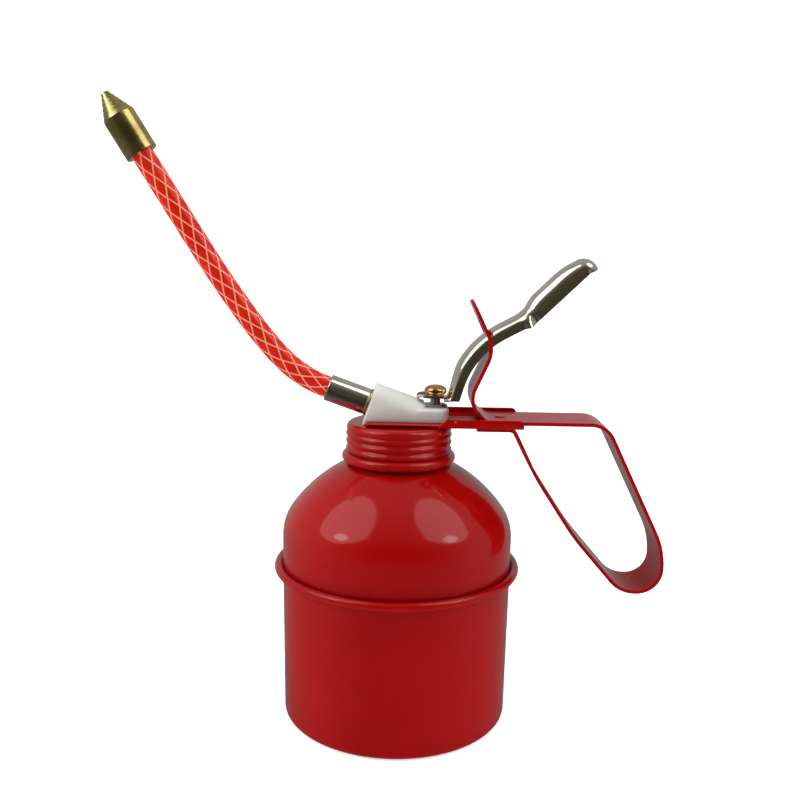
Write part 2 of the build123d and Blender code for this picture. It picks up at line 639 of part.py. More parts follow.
def hose():
    """Braided flexible spout, a plain tube along straight runs and tangent arcs."""
    points, _, _ = hose_route()
    radii = bend_radii(points)
    print("hose bend radii, mm:", [round(r, 1) for r in radii])
    path = Plane.XZ * FilletPolyline(*points, radius=radii)
    start = Plane(origin=path @ 0, z_dir=path % 0)
    tube = sweep(start * (Circle(HOSE_RADIUS) - Circle(HOSE_BORE)), path=path)
    print("hose length, mm:", round(path.length, 1), "volume ratio:",
          round(tube.volume / (path.length * 3.14159265 * (HOSE_RADIUS ** 2 - HOSE_BORE ** 2)), 4))
    return tube


def nozzle():
    """Turned brass tip: cylinder, grooved cone, socket and stem for the hose."""
    _, base, unit = hose_route()
    stem = HOSE_BORE - 0.25
    socket = NOZZLE_SOCKET + REST
    points = [(1.0, 1.0), (stem, 1.0), (stem, socket), (HOSE_RADIUS + FIT, socket),
              (HOSE_RADIUS + FIT, 0), (NOZZLE_RADIUS, 0), (NOZZLE_RADIUS, NOZZLE_CYLINDER)]
    rings = 4
    for i in range(rings):
        share = (i + 1) / rings
        radius = NOZZLE_RADIUS + (NOZZLE_TIP_RADIUS - NOZZLE_RADIUS) * share
        height = NOZZLE_CYLINDER + (NOZZLE_LENGTH - NOZZLE_CYLINDER) * share
        points.append((radius + (0.25 if i < rings - 1 else 0), height))
        if i < rings - 1:
            points.append((radius - 0.1, height))
    points.append((1.0, NOZZLE_LENGTH))
    body = turned(polygon(*points))
    place = Plane(origin=(base[0], 0, base[1]), x_dir=(0, 1, 0), z_dir=(unit[0], 0, unit[1]))
    return place * body


# ======================= lever =======================
def lever_path():
    """Outer line of the pressed lever: fork foot, curved arm, crowned grip, turned-down nose."""
    return [(FOOT_TIP, FOOT_TOP), (17.35, FOOT_TOP), (22.85, 140.62), (43.0, 151.56),
            (52.5, 163.9), (65.6, 173.6), (70.38, 169.52)], [2.0, 34.6, 6.0, 20.0, 3.5]


def flange_path():
    """Line that the flanges' free edges run parallel to, LEVER_DEPTH above them."""
    return [(FOOT_TIP, FOOT_TOP), (17.35, FOOT_TOP), (22.85, 140.62), (45.7, 153.03),
            (65.1, 172.15)], [2.0, 34.6, 6.0]


def lever():
    """Chromed steel channel, open underneath, flattened to a fork at its foot."""
    points, radii = lever_path()
    foot = FOOT_TOP - LEVER_SHEET
    web = band(points, radii, -LEVER_SHEET, 0)
    edge, bends = flange_path()
    flange = band(edge, bends, -LEVER_DEPTH, 0)
    flange += polygon(points[3], (52.8, 163.5), (65.0, 172.6), edge[4], edge[3])
    flange -= polygon((-5, foot), (40, foot), (40, foot - 20), (-5, foot - 20))
    inner, inner_radii = shifted(points, radii, -LEVER_SHEET)
    below = Polyline(inner[-1], (85, 105), (FOOT_TIP, 105), inner[0]).edges()
    edges = path_edges(inner, inner_radii) + below
    hollow = across(make_face(edges), LEVER_WIDTH - 2 * LEVER_SHEET)
    body = across(web + flange, LEVER_WIDTH) - hollow
    tips = [e for e in body.edges().filter_by(Axis.Z) if abs(e.center().X - FOOT_TIP) < 0.01]
    body = fillet(tips, FOOT_ROUND)
    slot = ring(FORK_HALF, 0, foot - 1, FOOT_TOP + 0.5, ROD_X + 0.8)
    slot += Pos(ROD_X + 0.8 - 10, 0, FOOT_TOP - 0.5) * Box(20, 2 * FORK_HALF, 3)
    return body - slot


cup = can_cup()
write("can_cup", cup)
write("can_shoulder", can_shoulder(cup))
for piece in (screw_cap, cap_gasket, bracket, handle_strap, strap_rivet, pump_head, lock_nut,
              nut_washer, gland_nut, rod_seal, pump_barrel, barrel_seal, ball_stop, foot_valve,
              suction_ball, dip_tube, strainer, pump_rod, rod_knob, piston_washer, piston_cup,
              piston_nut, return_spring, outlet_ball, outlet_spring, hose_tail, ferrule, hose,
              nozzle, lever):
    write(piece.__name__, piece())
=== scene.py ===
import json
from math import acos, atan2, ceil, cos, degrees, pi, radians, sin, tan

import bmesh
import bpy
import numpy as np
from mathutils import Matrix, Vector


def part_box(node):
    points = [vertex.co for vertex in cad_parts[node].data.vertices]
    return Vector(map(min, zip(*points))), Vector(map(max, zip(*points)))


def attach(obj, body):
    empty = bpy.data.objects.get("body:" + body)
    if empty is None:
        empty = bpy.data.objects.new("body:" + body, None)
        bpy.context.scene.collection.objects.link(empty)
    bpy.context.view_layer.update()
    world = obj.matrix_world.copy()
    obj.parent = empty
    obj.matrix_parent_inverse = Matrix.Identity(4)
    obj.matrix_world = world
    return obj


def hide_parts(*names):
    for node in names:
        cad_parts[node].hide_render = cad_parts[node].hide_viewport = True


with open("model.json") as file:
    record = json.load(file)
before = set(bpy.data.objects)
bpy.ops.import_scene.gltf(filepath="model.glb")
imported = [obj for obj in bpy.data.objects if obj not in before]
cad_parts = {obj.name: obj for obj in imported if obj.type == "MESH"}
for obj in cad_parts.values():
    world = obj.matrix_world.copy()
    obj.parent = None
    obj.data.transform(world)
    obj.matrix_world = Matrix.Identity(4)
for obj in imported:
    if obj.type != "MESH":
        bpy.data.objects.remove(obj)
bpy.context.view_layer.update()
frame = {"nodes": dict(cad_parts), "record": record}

# ---------------------------------------------------------------------------------------------
# Camera, floor and lights. The can stands in a round white cove, lit by washes above and at the
# sides and by two soft boxes and two lamps in front. Only those last four show as highlights.
# ---------------------------------------------------------------------------------------------
mm = 0.001
camera_place, pitch, roll = (0.00015, -0.34727, 0.18224), 0.1778839, 0.0184935
ahead = Vector((0.0, cos(pitch), -sin(pitch)))
right = Vector((1.0, 0.0, 0.0))
above = right.cross(ahead)
turned_right = right * cos(roll) + above * sin(roll)
turned_up = above * cos(roll) - right * sin(roll)
lens = bpy.data.cameras.new("camera")
lens.sensor_width = 36.0
lens.lens = 43.232
lens.clip_end = 50.0
camera = bpy.data.objects.new("camera", lens)
turn = Matrix((turned_right, turned_up, -ahead)).transposed()
camera.matrix_world = Matrix.Translation(camera_place) @ turn.to_4x4()
bpy.context.scene.collection.objects.link(camera)
bpy.context.scene.camera = camera
bpy.context.scene.view_settings.view_transform = "Standard"


def grid_faces(rows, columns, wrap_rows, wrap_columns):
    """Quads of a grid of rows x columns points: point (i, j) joins its neighbours i+1 and j+1,
    counted round from the last back to the first where the grid is wrapped."""
    i = np.arange(rows if wrap_rows else rows - 1)
    j = np.arange(columns if wrap_columns else columns - 1)
    i, j = np.meshgrid(i, j, indexing="ij")
    k, l = (i + 1) % rows, (j + 1) % columns
    quads = np.stack([i * columns + j, i * columns + l, k * columns + l, k * columns + j], axis=-1)
    return quads.reshape(-1, 4)


def build(name, points, faces, crease=40.0):
    """A mesh object from points and quads, its doubled points merged and its faces turned
    outwards, smooth except where two faces meet at more than the crease angle."""
    mesh = bpy.data.meshes.new(name)
    mesh.from_pydata(points.reshape(-1, 3).tolist(), [], faces.tolist())
    work = bmesh.new()
    work.from_mesh(mesh)
    bmesh.ops.remove_doubles(work, verts=work.verts, dist=1e-7)
    bmesh.ops.dissolve_degenerate(work, dist=1e-7, edges=work.edges)
    bmesh.ops.recalc_face_normals(work, faces=work.faces)
    work.to_mesh(mesh)
    work.free()
    mesh.shade_smooth()
    mesh.set_sharp_from_angle(angle=radians(crease))
    piece = bpy.data.objects.new(name, mesh)
    bpy.context.scene.collection.objects.link(piece)
    return piece


# The cove: a flat round floor that curls up all round into a wall. Its height over radius is 0
# out to the curl, then radius of curl * (1 - cos turn) at curl start + radius of curl * sin turn.
curl_start, curl_radius, wall_top = 1.0, 0.5, 2.0
bend = np.linspace(0.0, pi / 2, 20)
cove_radius = np.concatenate([[0.0, 0.2, 0.6], curl_start + curl_radius * np.sin(bend),
                              [curl_start + curl_radius]])
cove_height = np.concatenate([[0.0, 0.0, 0.0], curl_radius * (1 - np.cos(bend)), [wall_top]])
cove_columns = 96
way_round = np.linspace(0.0, 2 * pi, cove_columns, endpoint=False)
cove = np.stack(np.broadcast_arrays(cove_radius[:, None] * np.cos(way_round),
                                    cove_radius[:, None] * np.sin(way_round),
                                    cove_height[:, None]), axis=-1)
# The floor lights the can from below; the wall is only seen, and neither shows in a reflection.
stage_parts = (("floor", slice(0, 4), 0.58, True), ("wall", slice(3, None), 0.95, False))
for name, rows, glow, lights_up in stage_parts:
    stage = build(name, cove[rows], grid_faces(len(cove[rows]), cove_columns, False, True))
    first_face = stage.data.polygons[0]
    faces_down = first_face.normal.z < 0
    faces_out = first_face.normal.dot(first_face.center) > 0
    if faces_down if lights_up else faces_out:
        stage.data.flip_normals()
    stage.visible_glossy, stage.visible_diffuse = False, lights_up
    paper = bpy.data.materials.new(name + "_paper")
    paper.use_nodes = True
    paper_shader = paper.node_tree.nodes["Principled BSDF"]
    paper_shader.inputs["Base Color"].default_value = (0.80, 0.80, 0.80, 1)
    paper_shader.inputs["Roughness"].default_value = 0.9
    paper_shader.inputs["Specular IOR Level"].default_value = 0.1
    paper_shader.inputs["Emission Color"].default_value = (1.0, 1.0, 1.0, 1)
    paper_shader.inputs["Emission Strength"].default_value = glow
    stage.data.materials.append(paper)

# The room beyond the cove, which reflections see past it: light grey at the sides and back,
# nearly black in front of the can, and darker downwards.
world = bpy.data.worlds.new("studio_room")
world.use_nodes = True
room = world.node_tree
facing = room.nodes.new("ShaderNodeTexCoord")
apart = room.nodes.new("ShaderNodeSeparateXYZ")
room.links.new(facing.outputs["Generated"], apart.inputs["Vector"])
shade = room.nodes.new("ShaderNodeValToRGB")
shade.color_ramp.interpolation = "B_SPLINE"
room_stops = [(0.0, (0.06, 0.054, 0.036)), (0.10, (0.08, 0.074, 0.055)),
              (0.34, (0.33, 0.33, 0.32)), (1.0, (0.40, 0.41, 0.41))]
for extra in room_stops[2:]:
    shade.color_ramp.elements.new(0.5)
for element, (position, colour) in zip(shade.color_ramp.elements, room_stops):
    element.position, element.color = position, (*colour, 1)
spread = room.nodes.new("ShaderNodeMapRange")
spread.inputs["From Min"].default_value, spread.inputs["From Max"].default_value = -1.0, 1.0
room.links.new(apart.outputs["Y"], spread.inputs["Value"])
room.links.new(spread.outputs["Result"], shade.inputs["Fac"])
room.links.new(shade.outputs["Color"], room.nodes["Background"].inputs["Color"])
lower = room.nodes.new("ShaderNodeMapRange")
for slot, value in (("From Min", -0.5), ("From Max", 0.0), ("To Min", 0.35), ("To Max", 1.0)):
    lower.inputs[slot].default_value = value
room.links.new(apart.outputs["Z"], lower.inputs["Value"])
room.links.new(lower.outputs["Result"], room.nodes["Background"].inputs["Strength"])
bpy.context.scene.world = world


def soft_box(name, place, aim, width, length, watts, shows=True):
    """An area light at a place, facing the point that it is aimed at. One that shows is oval and
    leaves a highlight; one that does not is a rectangle that gives light and no highlight."""
    lamp = bpy.data.lights.new(name, "AREA")
    lamp.shape = "ELLIPSE" if shows else "RECTANGLE"
    lamp.size, lamp.size_y, lamp.energy = width, length, watts
    box = bpy.data.objects.new(name, lamp)
    box.location = place
    box.rotation_euler = (Vector(aim) - Vector(place)).to_track_quat("-Z", "Y").to_euler()
    box.visible_glossy = shows
    bpy.context.scene.collection.objects.link(box)
    return box


soft_box("overhead_wash", (0.0, 0.3, 1.5), (0.0, 0.0, 0.0), 1.6, 1.6, 14.0, shows=False)
soft_box("left_wash", (-0.9, 0.0, 0.45), (0.0, 0.0, 0.08), 0.7, 0.7, 3.6, shows=False)
soft_box("right_wash", (0.9, 0.0, 0.45), (0.0, 0.0, 0.08), 0.7, 0.7, 3.0, shows=False)
soft_box("left_box", (-0.66, -0.22, 0.80), (0.0, 0.0, 0.09), 0.85, 0.95, 3.2)
soft_box("right_box", (0.62, -0.26, 0.88), (0.0, 0.0, 0.09), 0.75, 0.95, 2.8)
soft_box("left_lamp", (-0.62, -0.30, 0.55), (0.0, 0.0, 0.09), 0.20, 0.20, 0.45)
soft_box("right_lamp", (0.60, -0.32, 0.57), (0.0, 0.0, 0.09), 0.20, 0.20, 0.40)

# ---------------------------------------------------------------------------------------------
# Can cup: the lower half of the can, one deep-drawn steel cup with a flange at its mouth. It is
# stove-enamelled red before the pump goes on; the enamel levels into a hard gloss with a faint
# orange peel, and picks up dust specks.
# ---------------------------------------------------------------------------------------------
FINE = 256                      # points round a turned piece


def soft_line(corners, radii, step=6.0, guard=0.15 * mm):
    """Straight runs joined by tangent arcs. At each corner the arc of the given radius starts
    radius * tan(half turn) before it, and is sampled every few degrees; a guard point near each
    end of a long run keeps the flat stretch flat under smooth shading."""
    corners = [np.array(c, dtype=float) for c in corners]
    line = [corners[0]]
    for before, here, after, radius in zip(corners, corners[1:], corners[2:], radii):
        u, w = here - before, after - here
        u, w = u / np.linalg.norm(u), w / np.linalg.norm(w)
        turn = atan2(u[0] * w[1] - u[1] * w[0], u @ w)
        start = here - u * radius * tan(abs(turn) / 2)
        spoke = np.array([u[1], -u[0]]) * radius * np.sign(turn)
        angles = np.linspace(0.0, turn, max(2, ceil(abs(degrees(turn)) / step) + 1))
        spun = np.stack([spoke[0] * np.cos(angles) - spoke[1] * np.sin(angles),
                         spoke[0] * np.sin(angles) + spoke[1] * np.cos(angles)], axis=1)
        line.extend(start - spoke + spun)
    line.append(corners[-1])
    line = np.array(line)
    gaps = np.linalg.norm(np.diff(line, axis=0), axis=1)
    guarded = [line[0]]
    for a, b, gap in zip(line, line[1:], gaps):
        if gap > 4 * guard:
            guarded += [a + (b - a) * guard / gap, b - (b - a) * guard / gap]
        guarded.append(b)
    return np.array(guarded)


def arc(centre, radius, start, end, count=24):
    """Points on a circle about centre from the start to the end angle in degrees."""
    angles = np.radians(np.linspace(start, end, count))
    return np.stack([centre[0] + radius * np.cos(angles), centre[1] + radius * np.sin(angles)], axis=1)


def lathe(name, profile, closed=False, around=FINE, place=None):
    """A profile of radius and height carried round the upright axis: point (r, h) at angle a
    goes to (r cos a, r sin a, h). A place matrix then sets the piece on its own axis."""
    angles = np.linspace(0.0, 2 * pi, around, endpoint=False)
    radius, height = profile[:, 0, None], profile[:, 1, None]
    points = np.stack(np.broadcast_arrays(radius * np.cos(angles), radius * np.sin(angles), height),
                      axis=-1)
    if place is not None:
        points = points @ np.array(place.to_3x3()).T + np.array(place.translation)
    return build(name, points, grid_faces(len(profile), around, closed, True))


def sheet_loop(line, thickness):
    """A pressed sheet's section: the line itself, then the same line moved to its left by the
    thickness along its own normal, run backwards, which closes the loop."""
    along = np.gradient(line, axis=0)
    along /= np.linalg.norm(along, axis=1)[:, None]
    moved = line + np.stack([-along[:, 1], along[:, 0]], axis=1) * thickness
    moved[:, 0] = np.maximum(moved[:, 0], 0.0)
    return np.concatenate([line, moved[::-1]])


def nodes_of(material):
    """The node tree, its shader and its object coordinates."""
    tree = material.node_tree
    place = tree.nodes.new("ShaderNodeTexCoord")
    return tree, tree.nodes["Principled BSDF"], place.outputs["Object"]


def noise(tree, place, scale, detail=3.0, roughness=0.5):
    """Fractal noise over the piece, scale in features per metre."""
    node = tree.nodes.new("ShaderNodeTexNoise")
    node.inputs["Scale"].default_value = scale
    node.inputs["Detail"].default_value = detail
    node.inputs["Roughness"].default_value = roughness
    tree.links.new(place, node.inputs["Vector"])
    return node.outputs["Fac"]


def ramp(tree, value, stops):
    """A colour ramp of (position, colour) stops."""
    node = tree.nodes.new("ShaderNodeValToRGB")
    for extra in range(len(stops) - 2):
        node.color_ramp.elements.new(0.5)
    for element, (position, colour) in zip(node.color_ramp.elements, stops):
        element.position = position
        element.color = colour if len(colour) == 4 else (*colour, 1)
    tree.links.new(value, node.inputs["Fac"])
    return node.outputs["Color"]


def grey(level):
    """A grey colour for a ramp that carries a number."""
    return (level, level, level, 1)


def blend(tree, amount, first, second, how="MIX"):
    """Two colours mixed by an amount, each a socket or a colour."""
    node = tree.nodes.new("ShaderNodeMix")
    node.data_type = "RGBA"
    node.blend_type = how
    if isinstance(amount, float):
        node.inputs["Factor"].default_value = amount
    else:
        tree.links.new(amount, node.inputs["Factor"])
    for slot, value in ((6, first), (7, second)):
        if isinstance(value, tuple):
            node.inputs[slot].default_value = (*value[:3], 1)
        else:
            tree.links.new(value, node.inputs[slot])
    return node.outputs[2]


def bump(tree, shader, layers):
    """Stacks bumps: each layer is a height socket, its depth in metres and its strength."""
    normal = None
    for height, distance, strength in layers:
        node = tree.nodes.new("ShaderNodeBump")
        node.inputs["Distance"].default_value = distance
        node.inputs["Strength"].default_value = strength
        tree.links.new(height, node.inputs["Height"])
        if normal is not None:
            tree.links.new(normal, node.inputs["Normal"])
        normal = node.outputs["Normal"]
    tree.links.new(normal, shader.inputs["Normal"])
    return normal


def specks(tree, place, scale, size):
    """Sparse round specks: a Voronoi cell counts where its distance is under the size, and a
    coarse noise thins them out."""
    cell = tree.nodes.new("ShaderNodeTexVoronoi")
    cell.inputs["Scale"].default_value = scale
    tree.links.new(place, cell.inputs["Vector"])
    near = ramp(tree, cell.outputs["Distance"], [(size * 0.6, grey(1.0)), (size, grey(0.0))])
    thin = ramp(tree, noise(tree, place, scale * 0.31, 1.0), [(0.60, grey(0.0)), (0.64, grey(1.0))])
    return blend(tree, 1.0, near, thin, "MULTIPLY")


def enamel(name, dent, gloss):
    """Red stove enamel: deep base colour with slow drifts of tone, a hard clear gloss over it,
    orange peel a millimetre across, broad shallow dents in the steel, and light dust specks."""
    material = bpy.data.materials.new(name)
    material.use_nodes = True
    tree, shader, place = nodes_of(material)
    drift = ramp(tree, noise(tree, place, 24.0, 4.0),
                 [(0.3, (0.27, 0.0006, 0.0006)), (0.7, (0.36, 0.0010, 0.0011))])
    fine = ramp(tree, noise(tree, place, 900.0, 2.0),
                [(0.35, (0.28, 0.0006, 0.0006)), (0.65, (0.35, 0.0010, 0.0011))])
    colour = blend(tree, 0.35, drift, fine)
    dust = specks(tree, place, 170.0, 0.075)
    colour = blend(tree, dust, colour, (0.50, 0.12, 0.10))
    tree.links.new(colour, shader.inputs["Base Color"])
    haze = ramp(tree, noise(tree, place, 70.0, 5.0, 0.6), [(0.3, grey(0.28)), (0.75, grey(0.42))])
    tree.links.new(haze, shader.inputs["Roughness"])
    shader.inputs["Specular IOR Level"].default_value = 0.04
    shader.inputs["Coat Weight"].default_value = 1.0
    shader.inputs["Coat Roughness"].default_value = 0.09
    shader.inputs["Coat IOR"].default_value = gloss
    normal = bump(tree, shader, [(noise(tree, place, 22.0, 1.0), dent * mm, 0.5),
                                 (noise(tree, place, 700.0, 1.0), 0.012 * mm, 0.2),
                                 (dust, 0.02 * mm, 0.5)])
    tree.links.new(normal, shader.inputs["Coat Normal"])
    return material


can_enamel = enamel("can_enamel", 0.5, 1.37)
base_radius, wall_radius, seam_height, can_sheet = 42.0 * mm, 42.65 * mm, 57.45 * mm, 0.5 * mm
flange_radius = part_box("can_cup")[1][0]
cup_line = soft_line([(0, 0), (base_radius, 0), (wall_radius, seam_height - can_sheet),
                      (flange_radius, seam_height - can_sheet)], [2.4 * mm, 0.5 * mm])
can_cup = lathe("enamelled_cup", sheet_loop(cup_line, can_sheet))
can_cup.data.materials.append(can_enamel)
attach(can_cup, "can")
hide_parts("can_cup")

# ---------------------------------------------------------------------------------------------
# Can shoulder: the upper half, a dome pressed and spun down to a ridged neck. Its lower edge is
# curled over the cup's flange and soldered, which leaves the round bead at the can's waist.
# ---------------------------------------------------------------------------------------------
bead_radius, bead_centre = 1.57 * mm, (44.2 * mm, seam_height)
shoulder_height, low_arc, low_turn, high_arc = 69.5 * mm, 17.1 * mm, 35.75, 54.4 * mm
neck_radius, neck_top = 17.4 * mm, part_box("can_shoulder")[1][2]
low_centre = (wall_radius - low_arc, shoulder_height)
high_centre = (low_centre[0] + (low_arc - high_arc) * cos(radians(low_turn)),
               low_centre[1] + (low_arc - high_arc) * sin(radians(low_turn)))
neck_fillet = 1.6 * mm
reach = neck_radius + neck_fillet - high_centre[0]
meet = degrees(acos(reach / (high_arc + neck_fillet)))
fillet_height = high_centre[1] + (high_arc + neck_fillet) * sin(radians(meet))
bead = arc(bead_centre, bead_radius, 199.0, 520.0, 72)
wall_foot = np.array([[wall_radius, seam_height + 0.75 * mm], [wall_radius, seam_height + 1.1 * mm]])
ridge_low, ridge_pitch, neck_ridge = 102.15 * mm, 2.75 * mm, 0.35 * mm
neck_height = np.linspace(fillet_height + 0.3 * mm, neck_top, 90)
wave = (neck_height - ridge_low) / ridge_pitch
inside_thread = (wave > -0.5) & (wave < 2.5)
neck_wall = neck_radius + neck_ridge * (1 + np.cos(2 * pi * wave)) * inside_thread
shoulder_line = np.concatenate([
    [[wall_radius - can_sheet, seam_height], [bead_centre[0] + 0.8 * mm, seam_height],
     [bead_centre[0] + 0.8 * mm, seam_height - can_sheet - 0.02 * mm]],
    bead, wall_foot,
    arc(low_centre, low_arc, 0.0, low_turn, 40),
    arc(high_centre, high_arc, low_turn, meet, 60)[1:],
    arc((neck_radius + neck_fillet, fillet_height), neck_fillet, 180.0 + meet, 180.0, 10)[1:],
    np.stack([neck_wall, neck_height], axis=1)])
inner_line = np.concatenate([
    arc(low_centre, low_arc - can_sheet, 0.0, low_turn, 30),
    arc(high_centre, high_arc - can_sheet, low_turn, meet, 40)[1:],
    np.stack([neck_wall - can_sheet, neck_height], axis=1)[6:]])
shoulder_wall = np.concatenate([shoulder_line, inner_line[::-1]])
can_shoulder = lathe("enamelled_shoulder", shoulder_wall, closed=True)
can_shoulder.data.materials.append(can_enamel)
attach(can_shoulder, "can")
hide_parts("can_shoulder")

# ---------------------------------------------------------------------------------------------
# Screw cap: a shallow steel pressing with three rolled thread ridges and a stiffening bead
# round its foot, enamelled with the can. Pump and handle are clamped to its flat top.
# ---------------------------------------------------------------------------------------------
cap_enamel = enamel("cap_enamel", 0.15, 1.42)
cap_foot, cap_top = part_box("screw_cap")[0][2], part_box("screw_cap")[1][2]
cap_sheet, cap_wall, cap_rim, cap_corner = 0.4 * mm, 18.8 * mm, 19.3 * mm, 1.9 * mm
cap_ridge, rim_start = 0.72 * mm, 108.95 * mm
foot_crest, foot_bead_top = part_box("screw_cap")[1][0], 101.0 * mm
foot_turns = np.linspace(-1.0, 1.0, 24)
foot_height = (cap_foot + foot_bead_top) / 2 + foot_turns * (foot_bead_top - cap_foot) / 2
foot_bulge = np.where(foot_turns < 0, foot_crest - 1.5 * mm, cap_wall)
foot_radius = foot_bulge + (foot_crest - foot_bulge) * np.sqrt(np.maximum(1 - np.abs(foot_turns) ** 2.2, 0))
skirt_height = np.linspace(foot_bead_top + 0.08 * mm, cap_top - 2.3 * mm, 110)
skirt_wave = (skirt_height - ridge_low) / ridge_pitch
swell = 0.5 * (1 + np.cos(2 * pi * skirt_wave))
rim = 1 / (1 + np.exp(-(skirt_height - rim_start) / (0.16 * mm)))
ridges = np.where(skirt_wave < 2.5, swell ** 0.75, 0.0)
skirt_radius = cap_wall + cap_ridge * ridges + (cap_rim - cap_wall) * rim
cap_line = np.concatenate([
    np.stack([foot_radius, foot_height], axis=1),
    np.stack([skirt_radius, skirt_height], axis=1),
    arc((cap_rim - cap_corner, cap_top - cap_corner), cap_corner, 0.0, 90.0, 14),
    [[cap_rim - 2.2 * mm, cap_top], [0.0, cap_top]]])
screw_cap = lathe("ridged_cap", sheet_loop(cap_line, cap_sheet))
screw_cap.data.materials.append(cap_enamel)
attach(screw_cap, "pump_unit")
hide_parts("screw_cap")

# ---------------------------------------------------------------------------------------------
# Bracket: a channel of sheet steel under the pump head and the strap, flat on the cap and
# flanged behind the head. It is the pressed part itself with its cut edges deburred and
# flooded by the enamel, which leaves them soft.
# ---------------------------------------------------------------------------------------------


def softened(node, name, width, segments=3, limit=30.0):
    """A copy of a designed piece with its doubled points merged, its flat faces joined, and its
    sharp edges rounded to the given width."""
    piece = bpy.data.objects.new(name, frame["nodes"][node].data.copy())
    bpy.context.scene.collection.objects.link(piece)
    piece.data.materials.clear()
    work = bmesh.new()
    work.from_mesh(piece.data)
    bmesh.ops.remove_doubles(work, verts=work.verts, dist=2e-6)
    bmesh.ops.dissolve_limit(work, angle_limit=radians(0.8), verts=work.verts, edges=work.edges)
    work.to_mesh(piece.data)
    work.free()
    piece.data.shade_smooth()
    edge = piece.modifiers.new("deburred", "BEVEL")
    edge.width, edge.segments, edge.angle_limit = width, segments, radians(limit)
    edge.limit_method = "ANGLE"
    edge.harden_normals = True
    return piece


handle_enamel = enamel("handle_enamel", 0.06, 1.15)
bracket = softened("bracket", "enamelled_bracket", 0.3 * mm)
bracket.data.materials.append(handle_enamel)
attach(bracket, "pump_unit")
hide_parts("bracket")

# ---------------------------------------------------------------------------------------------
# Strap handle: one strip of steel, riveted under the bracket at one end, bent round the hand
# loop, back through the bracket and up into the slotted stop that the lever works in.
# ---------------------------------------------------------------------------------------------
strap_sheet, strap_half = 1.3 * mm, 10.0 * mm
strap_low, strap_high, loop_low, loop_reach = 111.15, 113.65, 51.05, 97.65
strap_corners = [(28.0, strap_low), (41.4, strap_low), (49.9, 94.0), (64.5, 72.0), (82.7, loop_low),
                 (loop_reach, loop_low), (loop_reach, 67.3), (74.57, strap_high), (21.4, strap_high),
                 (33.27, 140.3), (25.3, 157.0)]
strap_radii = [3.0, 90.0, 90.0, 12.0, 9.0, 30.0, 9.0, 8.8, 11.5]
strap_line = soft_line(np.array(strap_corners) * mm, np.array(strap_radii) * mm,
                       step=1.0, guard=0.8 * mm)


def refined(line, spacing):
    """The same line with more points, no run longer than the spacing, and the distance of each
    point from its start."""
    gaps = np.linalg.norm(np.diff(line, axis=0), axis=1)
    ends = np.concatenate([[0.0], np.cumsum(gaps)])
    counts = np.maximum(np.ceil(gaps / spacing).astype(int), 1)
    stops = np.concatenate([np.linspace(a, b, n, endpoint=False)
                            for a, b, n in zip(ends, ends[1:], counts)])
    stops = np.concatenate([stops, [ends[-1]]])
    points = np.stack([np.interp(stops, ends, line[:, 0]), np.interp(stops, ends, line[:, 1])], axis=1)
    return points, stops


def rounded_end(distance, radius):
    """How much narrower a strip is at a distance from an end whose corners have that radius."""
    inside = np.clip(radius - distance, 0.0, radius)
    return radius - np.sqrt(radius ** 2 - inside ** 2)


strap_points, strap_run = refined(strap_line, 2.2 * mm)
tip_round, tail_round, window_half, window_round = 8.0 * mm, 0.6 * mm, 7.0 * mm, 1.2 * mm
window_low, window_high = 138.7 * mm, 150.5 * mm
upright = strap_run > strap_run[-1] - 50 * mm
window_ends = np.interp([window_low, window_high], strap_points[upright, 1], strap_run[upright])
# Extra rows close together where a corner is rounded, as shares of its radius.
corner_rows = np.array([0, 0.05, 0.2, 0.5, 1.0])
tip_rows = np.array([0.004, 0.02, 0.05, 0.1, 0.18, 0.28, 0.4, 0.55, 0.75])
extra = np.concatenate([window_ends[0] + window_round * corner_rows,
                        window_ends[1] - window_round * corner_rows,
                        strap_run[-1] - tip_round * tip_rows,
                        strap_run[0] + tail_round * corner_rows[1:]])
stops = np.unique(np.concatenate([strap_run, extra]))
strap_points = np.stack([np.interp(stops, strap_run, strap_points[:, i]) for i in (0, 1)], axis=1)
half = (strap_half - rounded_end(stops[-1] - stops, tip_round)
        - rounded_end(stops - stops[0], tail_round))
in_window = (stops >= window_ends[0] - 1e-9) & (stops <= window_ends[1] + 1e-9)
from_end = np.minimum(stops - window_ends[0], window_ends[1] - stops)
rail = np.where(in_window, window_half - rounded_end(from_end, window_round), window_half - window_round)
rail = np.minimum(rail, half * 0.6)
share = np.linspace(0.0, 1.0, 4)
outer_left = -half[:, None] + (half - rail)[:, None] * share
middle = -rail[:, None] + 2 * rail[:, None] * np.linspace(0.0, 1.0, 6)[1:-1]
width = np.concatenate([outer_left, middle, -outer_left[:, ::-1]], axis=1)
strip = np.stack(np.broadcast_arrays(strap_points[:, 0, None], width, strap_points[:, 1, None]),
                 axis=-1)
quads = grid_faces(len(stops), width.shape[1], False, False).reshape(len(stops) - 1, -1, 4)
open_rows = in_window[:-1] & in_window[1:]
keep = np.ones(quads.shape[:2], dtype=bool)
keep[np.ix_(open_rows, np.arange(3, 8))] = False
strap = build("strap_handle", strip, quads[keep])
plate = strap.modifiers.new("gauge", "SOLIDIFY")
plate.thickness, plate.offset, plate.use_even_offset = strap_sheet, 0.0, True
edge = strap.modifiers.new("deburred", "BEVEL")
edge.width, edge.segments, edge.limit_method, edge.angle_limit = 0.35 * mm, 3, "ANGLE", radians(50)
edge.harden_normals = True
strap.data.materials.append(handle_enamel)
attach(strap, "pump_unit")
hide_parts("handle_strap")

